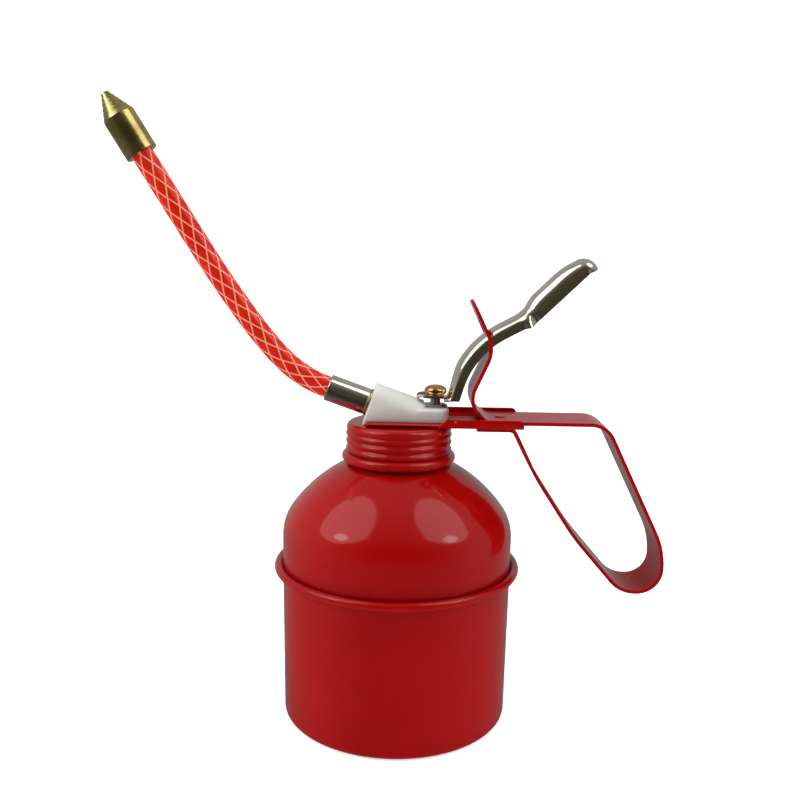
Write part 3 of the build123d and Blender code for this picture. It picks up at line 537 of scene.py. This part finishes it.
# ---------------------------------------------------------------------------------------------
# Rivet: a soft steel rivet closed flat through bracket and strap before they are enamelled, so
# it shows as a shallow disc under the paint.
# ---------------------------------------------------------------------------------------------
rivet_low, rivet_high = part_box("strap_rivet")
rivet_centre = ((rivet_low[0] + rivet_high[0]) / 2, 0.0, 0.0)
rivet_head = (rivet_high[0] - rivet_low[0]) / 2
head_gauge, shank, rim_round, corner_round = 0.3 * mm, rivet_head * 0.6, 0.15 * mm, 0.02 * mm
rivet_line = soft_line([(0, rivet_low[2]), (rivet_head, rivet_low[2]),
                        (rivet_head, rivet_low[2] + head_gauge), (shank, rivet_low[2] + head_gauge),
                        (shank, rivet_high[2] - head_gauge), (rivet_head, rivet_high[2] - head_gauge),
                        (rivet_head, rivet_high[2]), (0, rivet_high[2])],
                       [rim_round] + [corner_round] * 4 + [rim_round], guard=0.05 * mm)
rivet = lathe("flat_rivet", rivet_line, around=64, place=Matrix.Translation(rivet_centre))
rivet.data.materials.append(handle_enamel)
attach(rivet, "pump_unit")
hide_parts("strap_rivet")

# ---------------------------------------------------------------------------------------------
# Pump head: an injection-moulded nylon block, white and slightly translucent, with a blunt
# spout boss sloping down to the round deck that the pump rod comes through.
# ---------------------------------------------------------------------------------------------


def moulded(node, name, voxel, passes):
    """A copy of a designed piece as it comes out of a mould: rebuilt in small even cells and
    relaxed, each point moving towards the mean of its neighbours, so that every edge is soft."""
    piece = bpy.data.objects.new(name, frame["nodes"][node].data.copy())
    bpy.context.scene.collection.objects.link(piece)
    piece.data.materials.clear()
    work = bmesh.new()
    work.from_mesh(piece.data)
    bmesh.ops.remove_doubles(work, verts=work.verts, dist=2e-6)
    work.to_mesh(piece.data)
    work.free()
    cells = piece.modifiers.new("cells", "REMESH")
    cells.mode, cells.voxel_size = "VOXEL", voxel
    cells.use_smooth_shade = True
    relax = piece.modifiers.new("relax", "SMOOTH")
    relax.factor, relax.iterations = 0.5, passes
    scene_state = bpy.context.evaluated_depsgraph_get()
    shape = bpy.data.meshes.new_from_object(piece.evaluated_get(scene_state))
    piece.modifiers.clear()
    piece.data = shape
    shape.shade_smooth()
    return piece


nylon = bpy.data.materials.new("moulded_nylon")
nylon.use_nodes = True
tree, shader, place = nodes_of(nylon)
milk = ramp(tree, noise(tree, place, 60.0, 3.0), [(0.3, (0.60, 0.62, 0.57)), (0.7, (0.70, 0.72, 0.67))])
tree.links.new(milk, shader.inputs["Base Color"])
dull = ramp(tree, noise(tree, place, 300.0, 4.0), [(0.3, grey(0.34)), (0.7, grey(0.48))])
tree.links.new(dull, shader.inputs["Roughness"])
shader.inputs["Subsurface Weight"].default_value = 0.5
shader.inputs["Subsurface Radius"].default_value = (1.0, 0.95, 0.9)
shader.inputs["Subsurface Scale"].default_value = 1.5 * mm
bump(tree, shader, [(noise(tree, place, 150.0, 2.0), 0.1 * mm, 0.15),
                    (noise(tree, place, 1500.0, 2.0), 0.02 * mm, 0.2)])
head = moulded("pump_head", "nylon_head", 0.24 * mm, 6)
head.data.materials.append(nylon)
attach(head, "pump_unit")
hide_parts("pump_head")

# ---------------------------------------------------------------------------------------------
# Gland nut: a low ring of dull steel screwed into the head round the rod, holding its seal
# down. The dark oiled steel defined here is for the hidden steel pieces.
# ---------------------------------------------------------------------------------------------


def metal(name, dark, light, low_gloss, high_gloss):
    """Bare or plated metal: colour drifting between two tones, roughness drifting between two
    levels with fine wipe marks, and a bump of small dents and grain."""
    material = bpy.data.materials.new(name)
    material.use_nodes = True
    tree, shader, place = nodes_of(material)
    tone = ramp(tree, noise(tree, place, 120.0, 4.0, 0.6), [(0.3, dark), (0.7, light)])
    tree.links.new(tone, shader.inputs["Base Color"])
    shader.inputs["Metallic"].default_value = 1.0
    wipe = ramp(tree, noise(tree, place, 420.0, 6.0, 0.7),
                [(0.3, grey(low_gloss)), (0.75, grey(high_gloss))])
    tree.links.new(wipe, shader.inputs["Roughness"])
    bump(tree, shader, [(noise(tree, place, 90.0, 2.0), 0.05 * mm, 0.2),
                        (noise(tree, place, 2500.0, 2.0), 0.01 * mm, 0.1)])
    return material


oiled_steel = metal("oiled_steel", (0.10, 0.09, 0.08), (0.20, 0.19, 0.17), 0.25, 0.45)
gland_steel = metal("gland_steel", (0.42, 0.42, 0.41), (0.58, 0.58, 0.56), 0.35, 0.5)
gland = softened("gland_nut", "gland_ring", 0.2 * mm)
gland.data.materials.append(gland_steel)
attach(gland, "pump_unit")
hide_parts("gland_nut")

# ---------------------------------------------------------------------------------------------
# Pump rod and knob: a bright steel rod, turned down below for the piston, with a flattened
# copper-coloured ball screwed on top that the lever's fork pulls up.
# ---------------------------------------------------------------------------------------------
rod_low, rod_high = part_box("pump_rod")
rod_x = (rod_low[0] + rod_high[0]) / 2
knob_low, knob_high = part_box("rod_knob")
knob_middle, knob_radius, knob_half = (knob_low[2] + knob_high[2]) / 2, 4.1 * mm, 2.1 * mm
on_rod = Matrix.Translation((rod_x, 0.0, 0.0))
bright_steel = metal("bright_steel", (0.42, 0.38, 0.34), (0.60, 0.57, 0.53), 0.10, 0.22)
tail_radius, tail_top, rod_radius, stud_radius = 1.25 * mm, 104.0 * mm, 1.85 * mm, 1.2 * mm
rod_line = soft_line([(0, rod_low[2]), (tail_radius, rod_low[2]), (tail_radius, tail_top),
                      (rod_radius, tail_top), (rod_radius, knob_low[2] - 0.02 * mm),
                      (stud_radius, knob_low[2]), (stud_radius, rod_high[2]), (0, rod_high[2])],
                     [0.2 * mm, 0.1 * mm, 0.2 * mm, 0.1 * mm, 0.1 * mm, 0.1 * mm])
rod = lathe("bright_rod", rod_line, around=96, place=on_rod)
rod.data.materials.append(bright_steel)
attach(rod, "rod")
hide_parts("pump_rod")
copper = metal("coppered_brass", (0.55, 0.27, 0.11), (0.80, 0.48, 0.24), 0.06, 0.16)
# The knob: radius * cos(t)^0.8 out and half height * sin(t) up, a ball with a fuller edge.
lift = np.linspace(-pi / 2, pi / 2, 48)
knob_line = np.stack([knob_radius * np.abs(np.cos(lift)) ** 0.8,
                      knob_middle + knob_half * np.sin(lift)], axis=1)
knob_line[[0, -1], 0] = 0.0
knob = lathe("copper_knob", knob_line, around=128, place=on_rod)
knob.data.materials.append(copper)
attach(knob, "rod")
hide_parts("rod_knob")

# ---------------------------------------------------------------------------------------------
# Lever: a nickel-plated steel channel, open underneath, with a flat forked foot under the knob,
# a curved arm, a pinched bend and a straight grip with a closed rounded nose.
# ---------------------------------------------------------------------------------------------
lever_sheet = 1.0 * mm
lever_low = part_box("lever")[0]
foot_top = 121.5 * mm
foot_bottom = foot_top - lever_sheet
arm_corners = [(16.1, 121.5), (17.35, 121.5), (22.85, 140.62), (45.7, 153.03), (67.6, 174.6), (70.2, 168.8)]
arm_radii = [1.6, 34.6, 6.0, 4.2]
arm_line = soft_line(np.array(arm_corners) * mm, np.array(arm_radii) * mm, step=3.0, guard=1.0 * mm)
arm_line, arm_run = refined(arm_line, 0.7 * mm)
ahead_2d = np.gradient(arm_line, axis=0)
ahead_2d /= np.linalg.norm(ahead_2d, axis=1)[:, None]
under = np.stack([ahead_2d[:, 1], -ahead_2d[:, 0]], axis=1)
kink_run = np.interp(45.0 * mm, arm_line[:250, 0], arm_run[:250])
nose_run = arm_run[-1] - 9.5 * mm


def step_up(value, start, end):
    """Smooth step: 0 before the start, 1 after the end, 3t^2 - 2t^3 between them."""
    t = np.clip((value - start) / (end - start), 0.0, 1.0)
    return t * t * (3 - 2 * t)


def hump(value, middle, spread):
    """A smooth bump of height 1 about the middle."""
    return np.exp(-((value - middle) / spread) ** 2)


# The channel's back is crowned along the arm and more so along the grip, and flat at the nose.
past_foot = step_up(arm_run, 4 * mm, 16 * mm)
on_grip = step_up(arm_run, kink_run - 4 * mm, kink_run + 7 * mm)
on_grip = on_grip * (1 - step_up(arm_run, nose_run - 8 * mm, arm_run[-1]))
before_nose = 1 - step_up(arm_run, nose_run - 4 * mm, arm_run[-1])
crown = (past_foot * before_nose + 2.3 * on_grip) * mm
full_depth = (4.4 + 0.6 * hump(arm_run, kink_run - 0.6 * mm, 1.5 * mm)) * mm
clip_depth = (arm_line[:, 1] - foot_bottom) / np.maximum(-under[:, 1], 0.03)
near_foot = arm_run < 12 * mm
trimmed = np.minimum(full_depth, np.maximum(clip_depth, lever_sheet))
flange_depth = np.where(near_foot, trimmed, full_depth)
flange_depth = flange_depth - 0.25 * mm * step_up(arm_run, nose_run, arm_run[-1]) + crown
arm_half = (5.5 + 0.5 * step_up(arm_run, 1 * mm, 9 * mm)) * mm
past_nose = np.clip((arm_run - nose_run) / (arm_run[-1] - nose_run), 0.0, 1.0)
arm_half = arm_half - 2.2 * mm * (1 - np.sqrt(1 - past_nose ** 2 * 0.98))
shoulder = np.minimum((1.7 + 1.3 * past_foot + 1.9 * on_grip) * mm, flange_depth - 0.05 * mm)
quarter = np.linspace(0.0, pi / 2, 15)
drop_share = np.linspace(0.0, 1.0, 6)[1:]


def half_section(half_width, shoulder_depth, depth):
    """One half of the channel's skin: a quarter oval from the crown over to the side, with half
    width * sin(t)^0.86 across and shoulder depth * (1 - cos t) down, then straight down."""
    across = np.concatenate([half_width[:, None] * np.sin(quarter) ** 0.86,
                             np.repeat(half_width[:, None], len(drop_share), axis=1)], axis=1)
    flange = shoulder_depth[:, None] + (depth - shoulder_depth)[:, None] * drop_share
    down = np.concatenate([shoulder_depth[:, None] * (1 - np.cos(quarter)), flange], axis=1)
    return across, down


skin_y, skin_d = half_section(arm_half, shoulder, flange_depth)
inner_shoulder = np.maximum(shoulder - 0.6 * lever_sheet, 0.02 * mm)
inner_depth = np.maximum(flange_depth - lever_sheet, inner_shoulder + 0.001 * mm)
core_y, core_d = half_section(arm_half - lever_sheet, inner_shoulder, inner_depth)
core_d = core_d + lever_sheet
# The pinched bend: the flanges bulge just before it and are drawn in just after.
pinch_size = 1.3 * mm
bulge = hump(arm_run, kink_run - 1.3 * mm, 1.3 * mm)
crease = hump(arm_run, kink_run + 1.1 * mm, 0.9 * mm)
pinch = pinch_size * bulge - pinch_size * crease
fold = (skin_d / flange_depth[:, None]) ** 1.3
skin_y = skin_y + pinch[:, None] * fold
core_y = core_y + pinch[:, None] * (core_d / flange_depth[:, None]) ** 1.3
across = np.concatenate([-skin_y[:, :0:-1], skin_y, core_y[:, ::-1], -core_y[:, 1:]], axis=1)
down = np.concatenate([skin_d[:, :0:-1], skin_d, core_d[:, ::-1], core_d[:, 1:]], axis=1)
down = down - crown[:, None]
section = np.stack([arm_line[:, 0, None] + under[:, 0, None] * down, across,
                    arm_line[:, 1, None] + under[:, 1, None] * down], axis=-1)
arm = build("lever_arm", section, grid_faces(*section.shape[:2], False, True), crease=50.0)
work = bmesh.new()
work.from_mesh(arm.data)
bmesh.ops.holes_fill(work, edges=[e for e in work.edges if e.is_boundary], sides=0)
bmesh.ops.recalc_face_normals(work, faces=work.faces)
work.to_mesh(arm.data)
work.free()
foot_tip, slot_half, slot_centre = lever_low[0], 2.1 * mm, 13.7 * mm
foot_end, foot_half, foot_round = 16.1 * mm, 5.5 * mm, 3.5 * mm
quarter_turn = np.linspace(0, pi / 2, 10)
foot_run = np.unique(np.concatenate([np.linspace(foot_tip, foot_end, 12),
                                     foot_tip + foot_round * (1 - np.cos(quarter_turn)) + 1e-6,
                                     slot_centre + slot_half * np.sin(quarter_turn) - 1e-6]))
foot_width = foot_half - rounded_end(foot_run - foot_tip, foot_round)
slot_open = np.where(foot_run < slot_centre, slot_half,
                     np.sqrt(np.maximum(slot_half ** 2 - (foot_run - slot_centre) ** 2, 0.0)))
prong = slot_open[:, None] + (foot_width - slot_open)[:, None] * np.linspace(0.0, 1.0, 5)
fork = np.concatenate([-prong[:, ::-1], prong], axis=1)
fork_points = np.stack(np.broadcast_arrays(foot_run[:, None], fork, foot_top), axis=-1)
fork_quads = grid_faces(len(foot_run), 10, False, False).reshape(len(foot_run) - 1, 9, 4)
slotted = np.ones(fork_quads.shape[:2], dtype=bool)
slotted[foot_run[1:] < slot_centre + slot_half, 4] = False
foot = build("lever_foot", fork_points, fork_quads[slotted])
if foot.data.polygons[0].normal.z < 0:
    foot.data.flip_normals()
foot_plate = foot.modifiers.new("gauge", "SOLIDIFY")
foot_plate.thickness, foot_plate.offset = lever_sheet, -1.0
plating = metal("nickel_plate", (0.66, 0.61, 0.50), (0.82, 0.79, 0.69), 0.04, 0.12)
for part in (arm, foot):
    edge = part.modifiers.new("deburred", "BEVEL")
    edge.width, edge.segments, edge.limit_method, edge.angle_limit = 0.22 * mm, 2, "ANGLE", radians(50)
    part.data.materials.append(plating)
    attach(part, "lever")
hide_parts("lever")
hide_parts("lever")

# ---------------------------------------------------------------------------------------------
# Ferrule and hose tail: a brass tail screwed into the head, with a thin flange, and a plated
# sleeve pressed over the hose on it.
# ---------------------------------------------------------------------------------------------
outlet_angle = radians(19.5)
outlet_face = Vector((-10.96 * mm, 0.0, 118.69 * mm))
outlet_way = Vector((-cos(outlet_angle), 0.0, sin(outlet_angle)))


def along_axis(origin, way):
    """Matrix that stands a turned piece on an axis: its height runs along the way given."""
    sideways = Vector((0.0, 1.0, 0.0))
    third = way.cross(sideways)
    return Matrix.Translation(origin) @ Matrix((sideways, third, way)).transposed().to_4x4()


on_outlet = along_axis(outlet_face, outlet_way)
ferrule_length, ferrule_radius, hose_radius, flange_gauge = 15.35 * mm, 4.9 * mm, 4.0 * mm, 0.9 * mm
sleeve_bore = hose_radius + 0.03 * mm
rise = flange_gauge + 0.05 * mm
ferrule_line = soft_line([(sleeve_bore, rise), (ferrule_radius, rise),
                          (ferrule_radius, rise + ferrule_length),
                          (sleeve_bore, rise + ferrule_length), (sleeve_bore, rise)],
                         [0.35 * mm, 0.45 * mm, 0.3 * mm], step=12.0)
ferrule = lathe("plated_ferrule", ferrule_line, around=160, place=on_outlet)
ferrule_plate = metal("ferrule_plate", (0.62, 0.59, 0.51), (0.80, 0.77, 0.69), 0.04, 0.12)
ferrule.data.materials.append(ferrule_plate)
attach(ferrule, "pump_unit")
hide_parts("ferrule")
tail_brass = metal("tail_brass", (0.52, 0.42, 0.22), (0.68, 0.56, 0.32), 0.16, 0.3)
tail_bore, tail_thread, tail_flange, tail_barb = 1.2 * mm, 2.97 * mm, 5.2 * mm, 2.35 * mm
tail_foot, tail_end = -6 * mm, 17 * mm
tail_line = soft_line([(tail_bore, tail_foot), (tail_thread, tail_foot), (tail_thread, 0),
                       (tail_flange, 0), (tail_flange, flange_gauge), (tail_barb, flange_gauge),
                       (tail_barb, tail_end), (tail_bore, tail_end), (tail_bore, tail_foot)],
                      [0.2 * mm, 0.1 * mm, 0.2 * mm, 0.2 * mm, 0.1 * mm, 0.3 * mm, 0.1 * mm], step=15.0)
tail = lathe("hose_tail_brass", tail_line, around=96, place=on_outlet)
tail.data.materials.append(tail_brass)
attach(tail, "pump_unit")
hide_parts("hose_tail")

# ---------------------------------------------------------------------------------------------
# Hose: clear red plastic tube with a pale braid of crossed threads inside its wall, stiff
# enough to stand by itself. It is pushed over the tail and into the nozzle's socket.
# ---------------------------------------------------------------------------------------------
hose_bore = 2.6 * mm
nozzle_base, nozzle_corner = Vector((-92.0 * mm, 0, 206.05 * mm)), Vector((-77.5 * mm, 0, 182.6 * mm))
nozzle_way = (nozzle_base - nozzle_corner).normalized()
hose_start = outlet_face + outlet_way * rise
hose_end = nozzle_base + nozzle_way * 8.8 * mm
first_bend = (-34.4 * mm, 118.69 * mm + (34.4 - 10.96) * mm * tan(outlet_angle))
hose_route = np.array([(hose_start.x, hose_start.z), first_bend, (-46.8 * mm, 137.9 * mm),
                       (-63.0 * mm, 159.8 * mm), (nozzle_corner.x, nozzle_corner.z),
                       (hose_end.x, hose_end.z)])


def smooth_route(corners, count):
    """Quadratic B-spline through the middles of a route's inner runs, from its first corner to
    its last: between two middles the point is (1-t)^2 a + 2t(1-t) corner + t^2 b."""
    middles = (corners[1:-2] + corners[2:-1]) / 2
    starts = np.concatenate([corners[:1], middles])
    ends = np.concatenate([middles, corners[-1:]])
    t = np.linspace(0.0, 1.0, count, endpoint=False)[None, :, None]
    spans = ((1 - t) ** 2 * starts[:, None] + 2 * t * (1 - t) * corners[1:-1, None]
             + t ** 2 * ends[:, None])
    return np.concatenate([spans.reshape(-1, 2), corners[-1:]])


hose_straight = np.linspace(0.0, 1.0, 12)[:-1, None]
first_run = hose_route[1] - hose_route[0]
hose_knee = hose_route[0] + first_run * (ferrule_length / np.linalg.norm(first_run))
curved = smooth_route(np.concatenate([[hose_knee], hose_route[1:]]), 60)
hose_line = np.concatenate([hose_route[0] + (hose_knee - hose_route[0]) * hose_straight, curved])
hose_line, hose_run = refined(hose_line, 0.6 * mm)
hose_ahead = np.gradient(hose_line, axis=0)
hose_ahead /= np.linalg.norm(hose_ahead, axis=1)[:, None]
hose_side = np.stack([-hose_ahead[:, 1], hose_ahead[:, 0]], axis=1)


def tube_points(line, sideways, radius, around=96):
    """Points of a tube: at each point of the line a circle of radius r, whose point at angle a
    stands r cos a across the line in its own plane and r sin a out of it."""
    angles = np.linspace(0.0, 2 * pi, around, endpoint=False)
    reach, out = radius * np.cos(angles), radius * np.sin(angles)
    return np.stack(np.broadcast_arrays(line[:, 0, None] + sideways[:, 0, None] * reach, out,
                                        line[:, 1, None] + sideways[:, 1, None] * reach), axis=-1)


outside = tube_points(hose_line, hose_side, hose_radius)
inside = tube_points(hose_line, hose_side, hose_bore)
hose_points = np.concatenate([outside, inside[::-1]])
rows, around = hose_points.shape[:2]
mesh = bpy.data.meshes.new("braided_hose")
hose_quads = grid_faces(rows, around, True, True)
mesh.from_pydata(hose_points.reshape(-1, 3).tolist(), [], hose_quads.tolist())
# The braid's own coordinates: u is the turn round the hose, 0 to 1, and v the distance along.
run_of_row = np.concatenate([hose_run, hose_run[::-1]])
corner_row, corner_column = np.divmod(hose_quads, around)
last_column = (hose_quads % around == 0) & (corner_column.max(axis=1, keepdims=True) == around - 1)
turn_of_corner = np.where(last_column, 1.0, corner_column / around)
braid_map = np.stack([turn_of_corner, run_of_row[corner_row]], axis=-1)
layer = mesh.uv_layers.new(name="braid")
layer.data.foreach_set("uv", braid_map.reshape(-1).astype(np.float32))
mesh.shade_smooth()
mesh.set_sharp_from_angle(angle=radians(50))
hose = bpy.data.objects.new("braided_hose", mesh)
bpy.context.scene.collection.objects.link(hose)

braided = bpy.data.materials.new("braided_plastic")
braided.use_nodes = True
tree, shader, place = nodes_of(braided)
braid = tree.nodes.new("ShaderNodeUVMap")
braid.uv_map = "braid"
split = tree.nodes.new("ShaderNodeSeparateXYZ")
tree.links.new(braid.outputs["UV"], split.inputs["Vector"])


def reckon(tree, operation, first, second=0.0):
    """One arithmetic node on sockets or numbers."""
    node = tree.nodes.new("ShaderNodeMath")
    node.operation = operation
    for i, value in enumerate((first, second)):
        if isinstance(value, (int, float)):
            node.inputs[i].default_value = value
        else:
            tree.links.new(value, node.inputs[i])
    return node.outputs[0]


THREADS, LAY = 6, 52.0 * mm     # threads each way, and the length of one full turn of a thread


def thread_family(hand):
    """Where one family of threads runs: the fraction part of turn * threads + hand * length *
    threads / lay is near a half on a thread. Gives the distance from its middle, 0 to 0.5."""
    phase = reckon(tree, "ADD", reckon(tree, "MULTIPLY", split.outputs["X"], float(THREADS)),
                   reckon(tree, "MULTIPLY", split.outputs["Y"], hand * THREADS / LAY))
    drift = reckon(tree, "SUBTRACT", noise(tree, place, 160.0, 2.0), 0.5)
    wobble = reckon(tree, "MULTIPLY", drift, 0.12)
    part = reckon(tree, "FRACT", reckon(tree, "ADD", phase, wobble))
    return reckon(tree, "ABSOLUTE", reckon(tree, "SUBTRACT", part, 0.5))


nearest = reckon(tree, "MINIMUM", thread_family(1.0), thread_family(-1.0))
on_thread = ramp(tree, nearest, [(0.045, grey(1.0)), (0.080, grey(0.0))])
fibre = ramp(tree, noise(tree, place, 2600.0, 2.0),
             [(0.3, (0.78, 0.24, 0.15)), (0.7, (0.92, 0.44, 0.32))])
red_drift = ramp(tree, noise(tree, place, 90.0, 4.0),
                 [(0.3, (0.52, 0.006, 0.001)), (0.7, (0.68, 0.020, 0.003))])
wall = blend(tree, on_thread, red_drift, fibre)
tree.links.new(wall, shader.inputs["Base Color"])
gloss = ramp(tree, noise(tree, place, 500.0, 4.0), [(0.3, grey(0.18)), (0.7, grey(0.34))])
tree.links.new(gloss, shader.inputs["Roughness"])
shader.inputs["Subsurface Weight"].default_value = 0.25
shader.inputs["Subsurface Radius"].default_value = (1.0, 0.15, 0.1)
shader.inputs["Subsurface Scale"].default_value = 1.0 * mm
shader.inputs["Specular IOR Level"].default_value = 0.15
shader.inputs["Coat Weight"].default_value = 0.6
shader.inputs["Coat IOR"].default_value = 1.35
shader.inputs["Coat Roughness"].default_value = 0.12
bump(tree, shader, [(on_thread, 0.12 * mm, 0.35), (noise(tree, place, 900.0, 2.0), 0.02 * mm, 0.25)])
hose.data.materials.append(braided)
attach(hose, "pump_unit")
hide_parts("hose")

# ---------------------------------------------------------------------------------------------
# Nozzle: turned from brass bar, a plain cylinder with a socket for the hose, and a stepped cone
# down to the small outlet, lightly tarnished.
# ---------------------------------------------------------------------------------------------
nozzle_radius, nozzle_cylinder, nozzle_length = 5.85 * mm, 14.6 * mm, 24.0 * mm
tip_radius, tip_bore, nozzle_bore, socket = 1.28 * mm, 0.7 * mm, 1.0 * mm, 8.85 * mm
cone_steps = 6
step_share = np.arange(1, cone_steps + 1) / cone_steps
step_height = nozzle_cylinder + (nozzle_length - nozzle_cylinder) * step_share
step_radius = nozzle_radius + (tip_radius - nozzle_radius) * step_share
grooved = np.stack([np.stack([step_radius + 0.26 * mm, step_height - 0.22 * mm], axis=1),
                    np.stack([step_radius - 0.05 * mm, step_height], axis=1)], axis=1).reshape(-1, 2)[:-1]
spigot_foot, spigot_radius = 1.0 * mm, 2.35 * mm
nozzle_corners = [(nozzle_bore, spigot_foot), (spigot_radius, spigot_foot), (spigot_radius, socket),
                  (sleeve_bore, socket), (sleeve_bore, 0.0), (nozzle_radius, 0.0),
                  (nozzle_radius, nozzle_cylinder)]
nozzle_corners += [tuple(p) for p in grooved]
nozzle_corners += [(tip_radius, nozzle_length), (tip_bore, nozzle_length), (tip_bore, 14 * mm),
                   (nozzle_bore, 13 * mm), (nozzle_bore, spigot_foot)]
nozzle_rounds = [0.1 * mm, 0.05 * mm, 0.05 * mm, 0.05 * mm, 0.35 * mm, 0.2 * mm]
nozzle_rounds += [0.08 * mm] * len(grooved)
nozzle_rounds += [0.3 * mm, 0.1 * mm, 0.05 * mm, 0.05 * mm]
nozzle_line = soft_line(nozzle_corners, nozzle_rounds, step=15.0, guard=0.1 * mm)
nozzle = lathe("brass_nozzle", nozzle_line, around=160, place=along_axis(nozzle_base, nozzle_way))
nozzle_brass = metal("nozzle_brass", (0.34, 0.28, 0.09), (0.62, 0.53, 0.22), 0.14, 0.32)
nozzle.data.materials.append(nozzle_brass)
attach(nozzle, "pump_unit")
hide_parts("nozzle")

# ---------------------------------------------------------------------------------------------
# Pieces inside the can and the head: barrel, valves, piston, seals, nut and springs, as the
# design has them, in the metal, rubber or plastic that each is made of.
# ---------------------------------------------------------------------------------------------
rubber = bpy.data.materials.new("black_rubber")
rubber.use_nodes = True
tree, shader, place = nodes_of(rubber)
soot = ramp(tree, noise(tree, place, 400.0), [(0.3, grey(0.012)), (0.7, grey(0.03))])
tree.links.new(soot, shader.inputs["Base Color"])
shader.inputs["Roughness"].default_value = 0.6
bump(tree, shader, [(noise(tree, place, 1800.0), 0.02 * mm, 0.4)])
tube_plastic = bpy.data.materials.new("natural_tube")
tube_plastic.use_nodes = True
tree, shader, place = nodes_of(tube_plastic)
milk = ramp(tree, noise(tree, place, 80.0), [(0.3, (0.70, 0.70, 0.64)), (0.7, (0.80, 0.80, 0.75))])
tree.links.new(milk, shader.inputs["Base Color"])
shader.inputs["Roughness"].default_value = 0.35
bump(tree, shader, [(noise(tree, place, 500.0), 0.03 * mm, 0.3)])
plain_brass = metal("plain_brass", (0.50, 0.38, 0.16), (0.66, 0.52, 0.24), 0.2, 0.35)
finishes = {"paint": handle_enamel, "steel": bright_steel, "dark_steel": oiled_steel,
            "rubber": rubber, "nylon": nylon, "brass": plain_brass, "tube_plastic": tube_plastic,
            "copper": copper, "nickel": plating, "hose": braided}
slots = {part["node"]: part["material_slot"] for part in frame["record"]["subparts"]}
for node, part in frame["nodes"].items():
    part.data.materials.clear()
    part.data.materials.append(finishes[slots[node]])
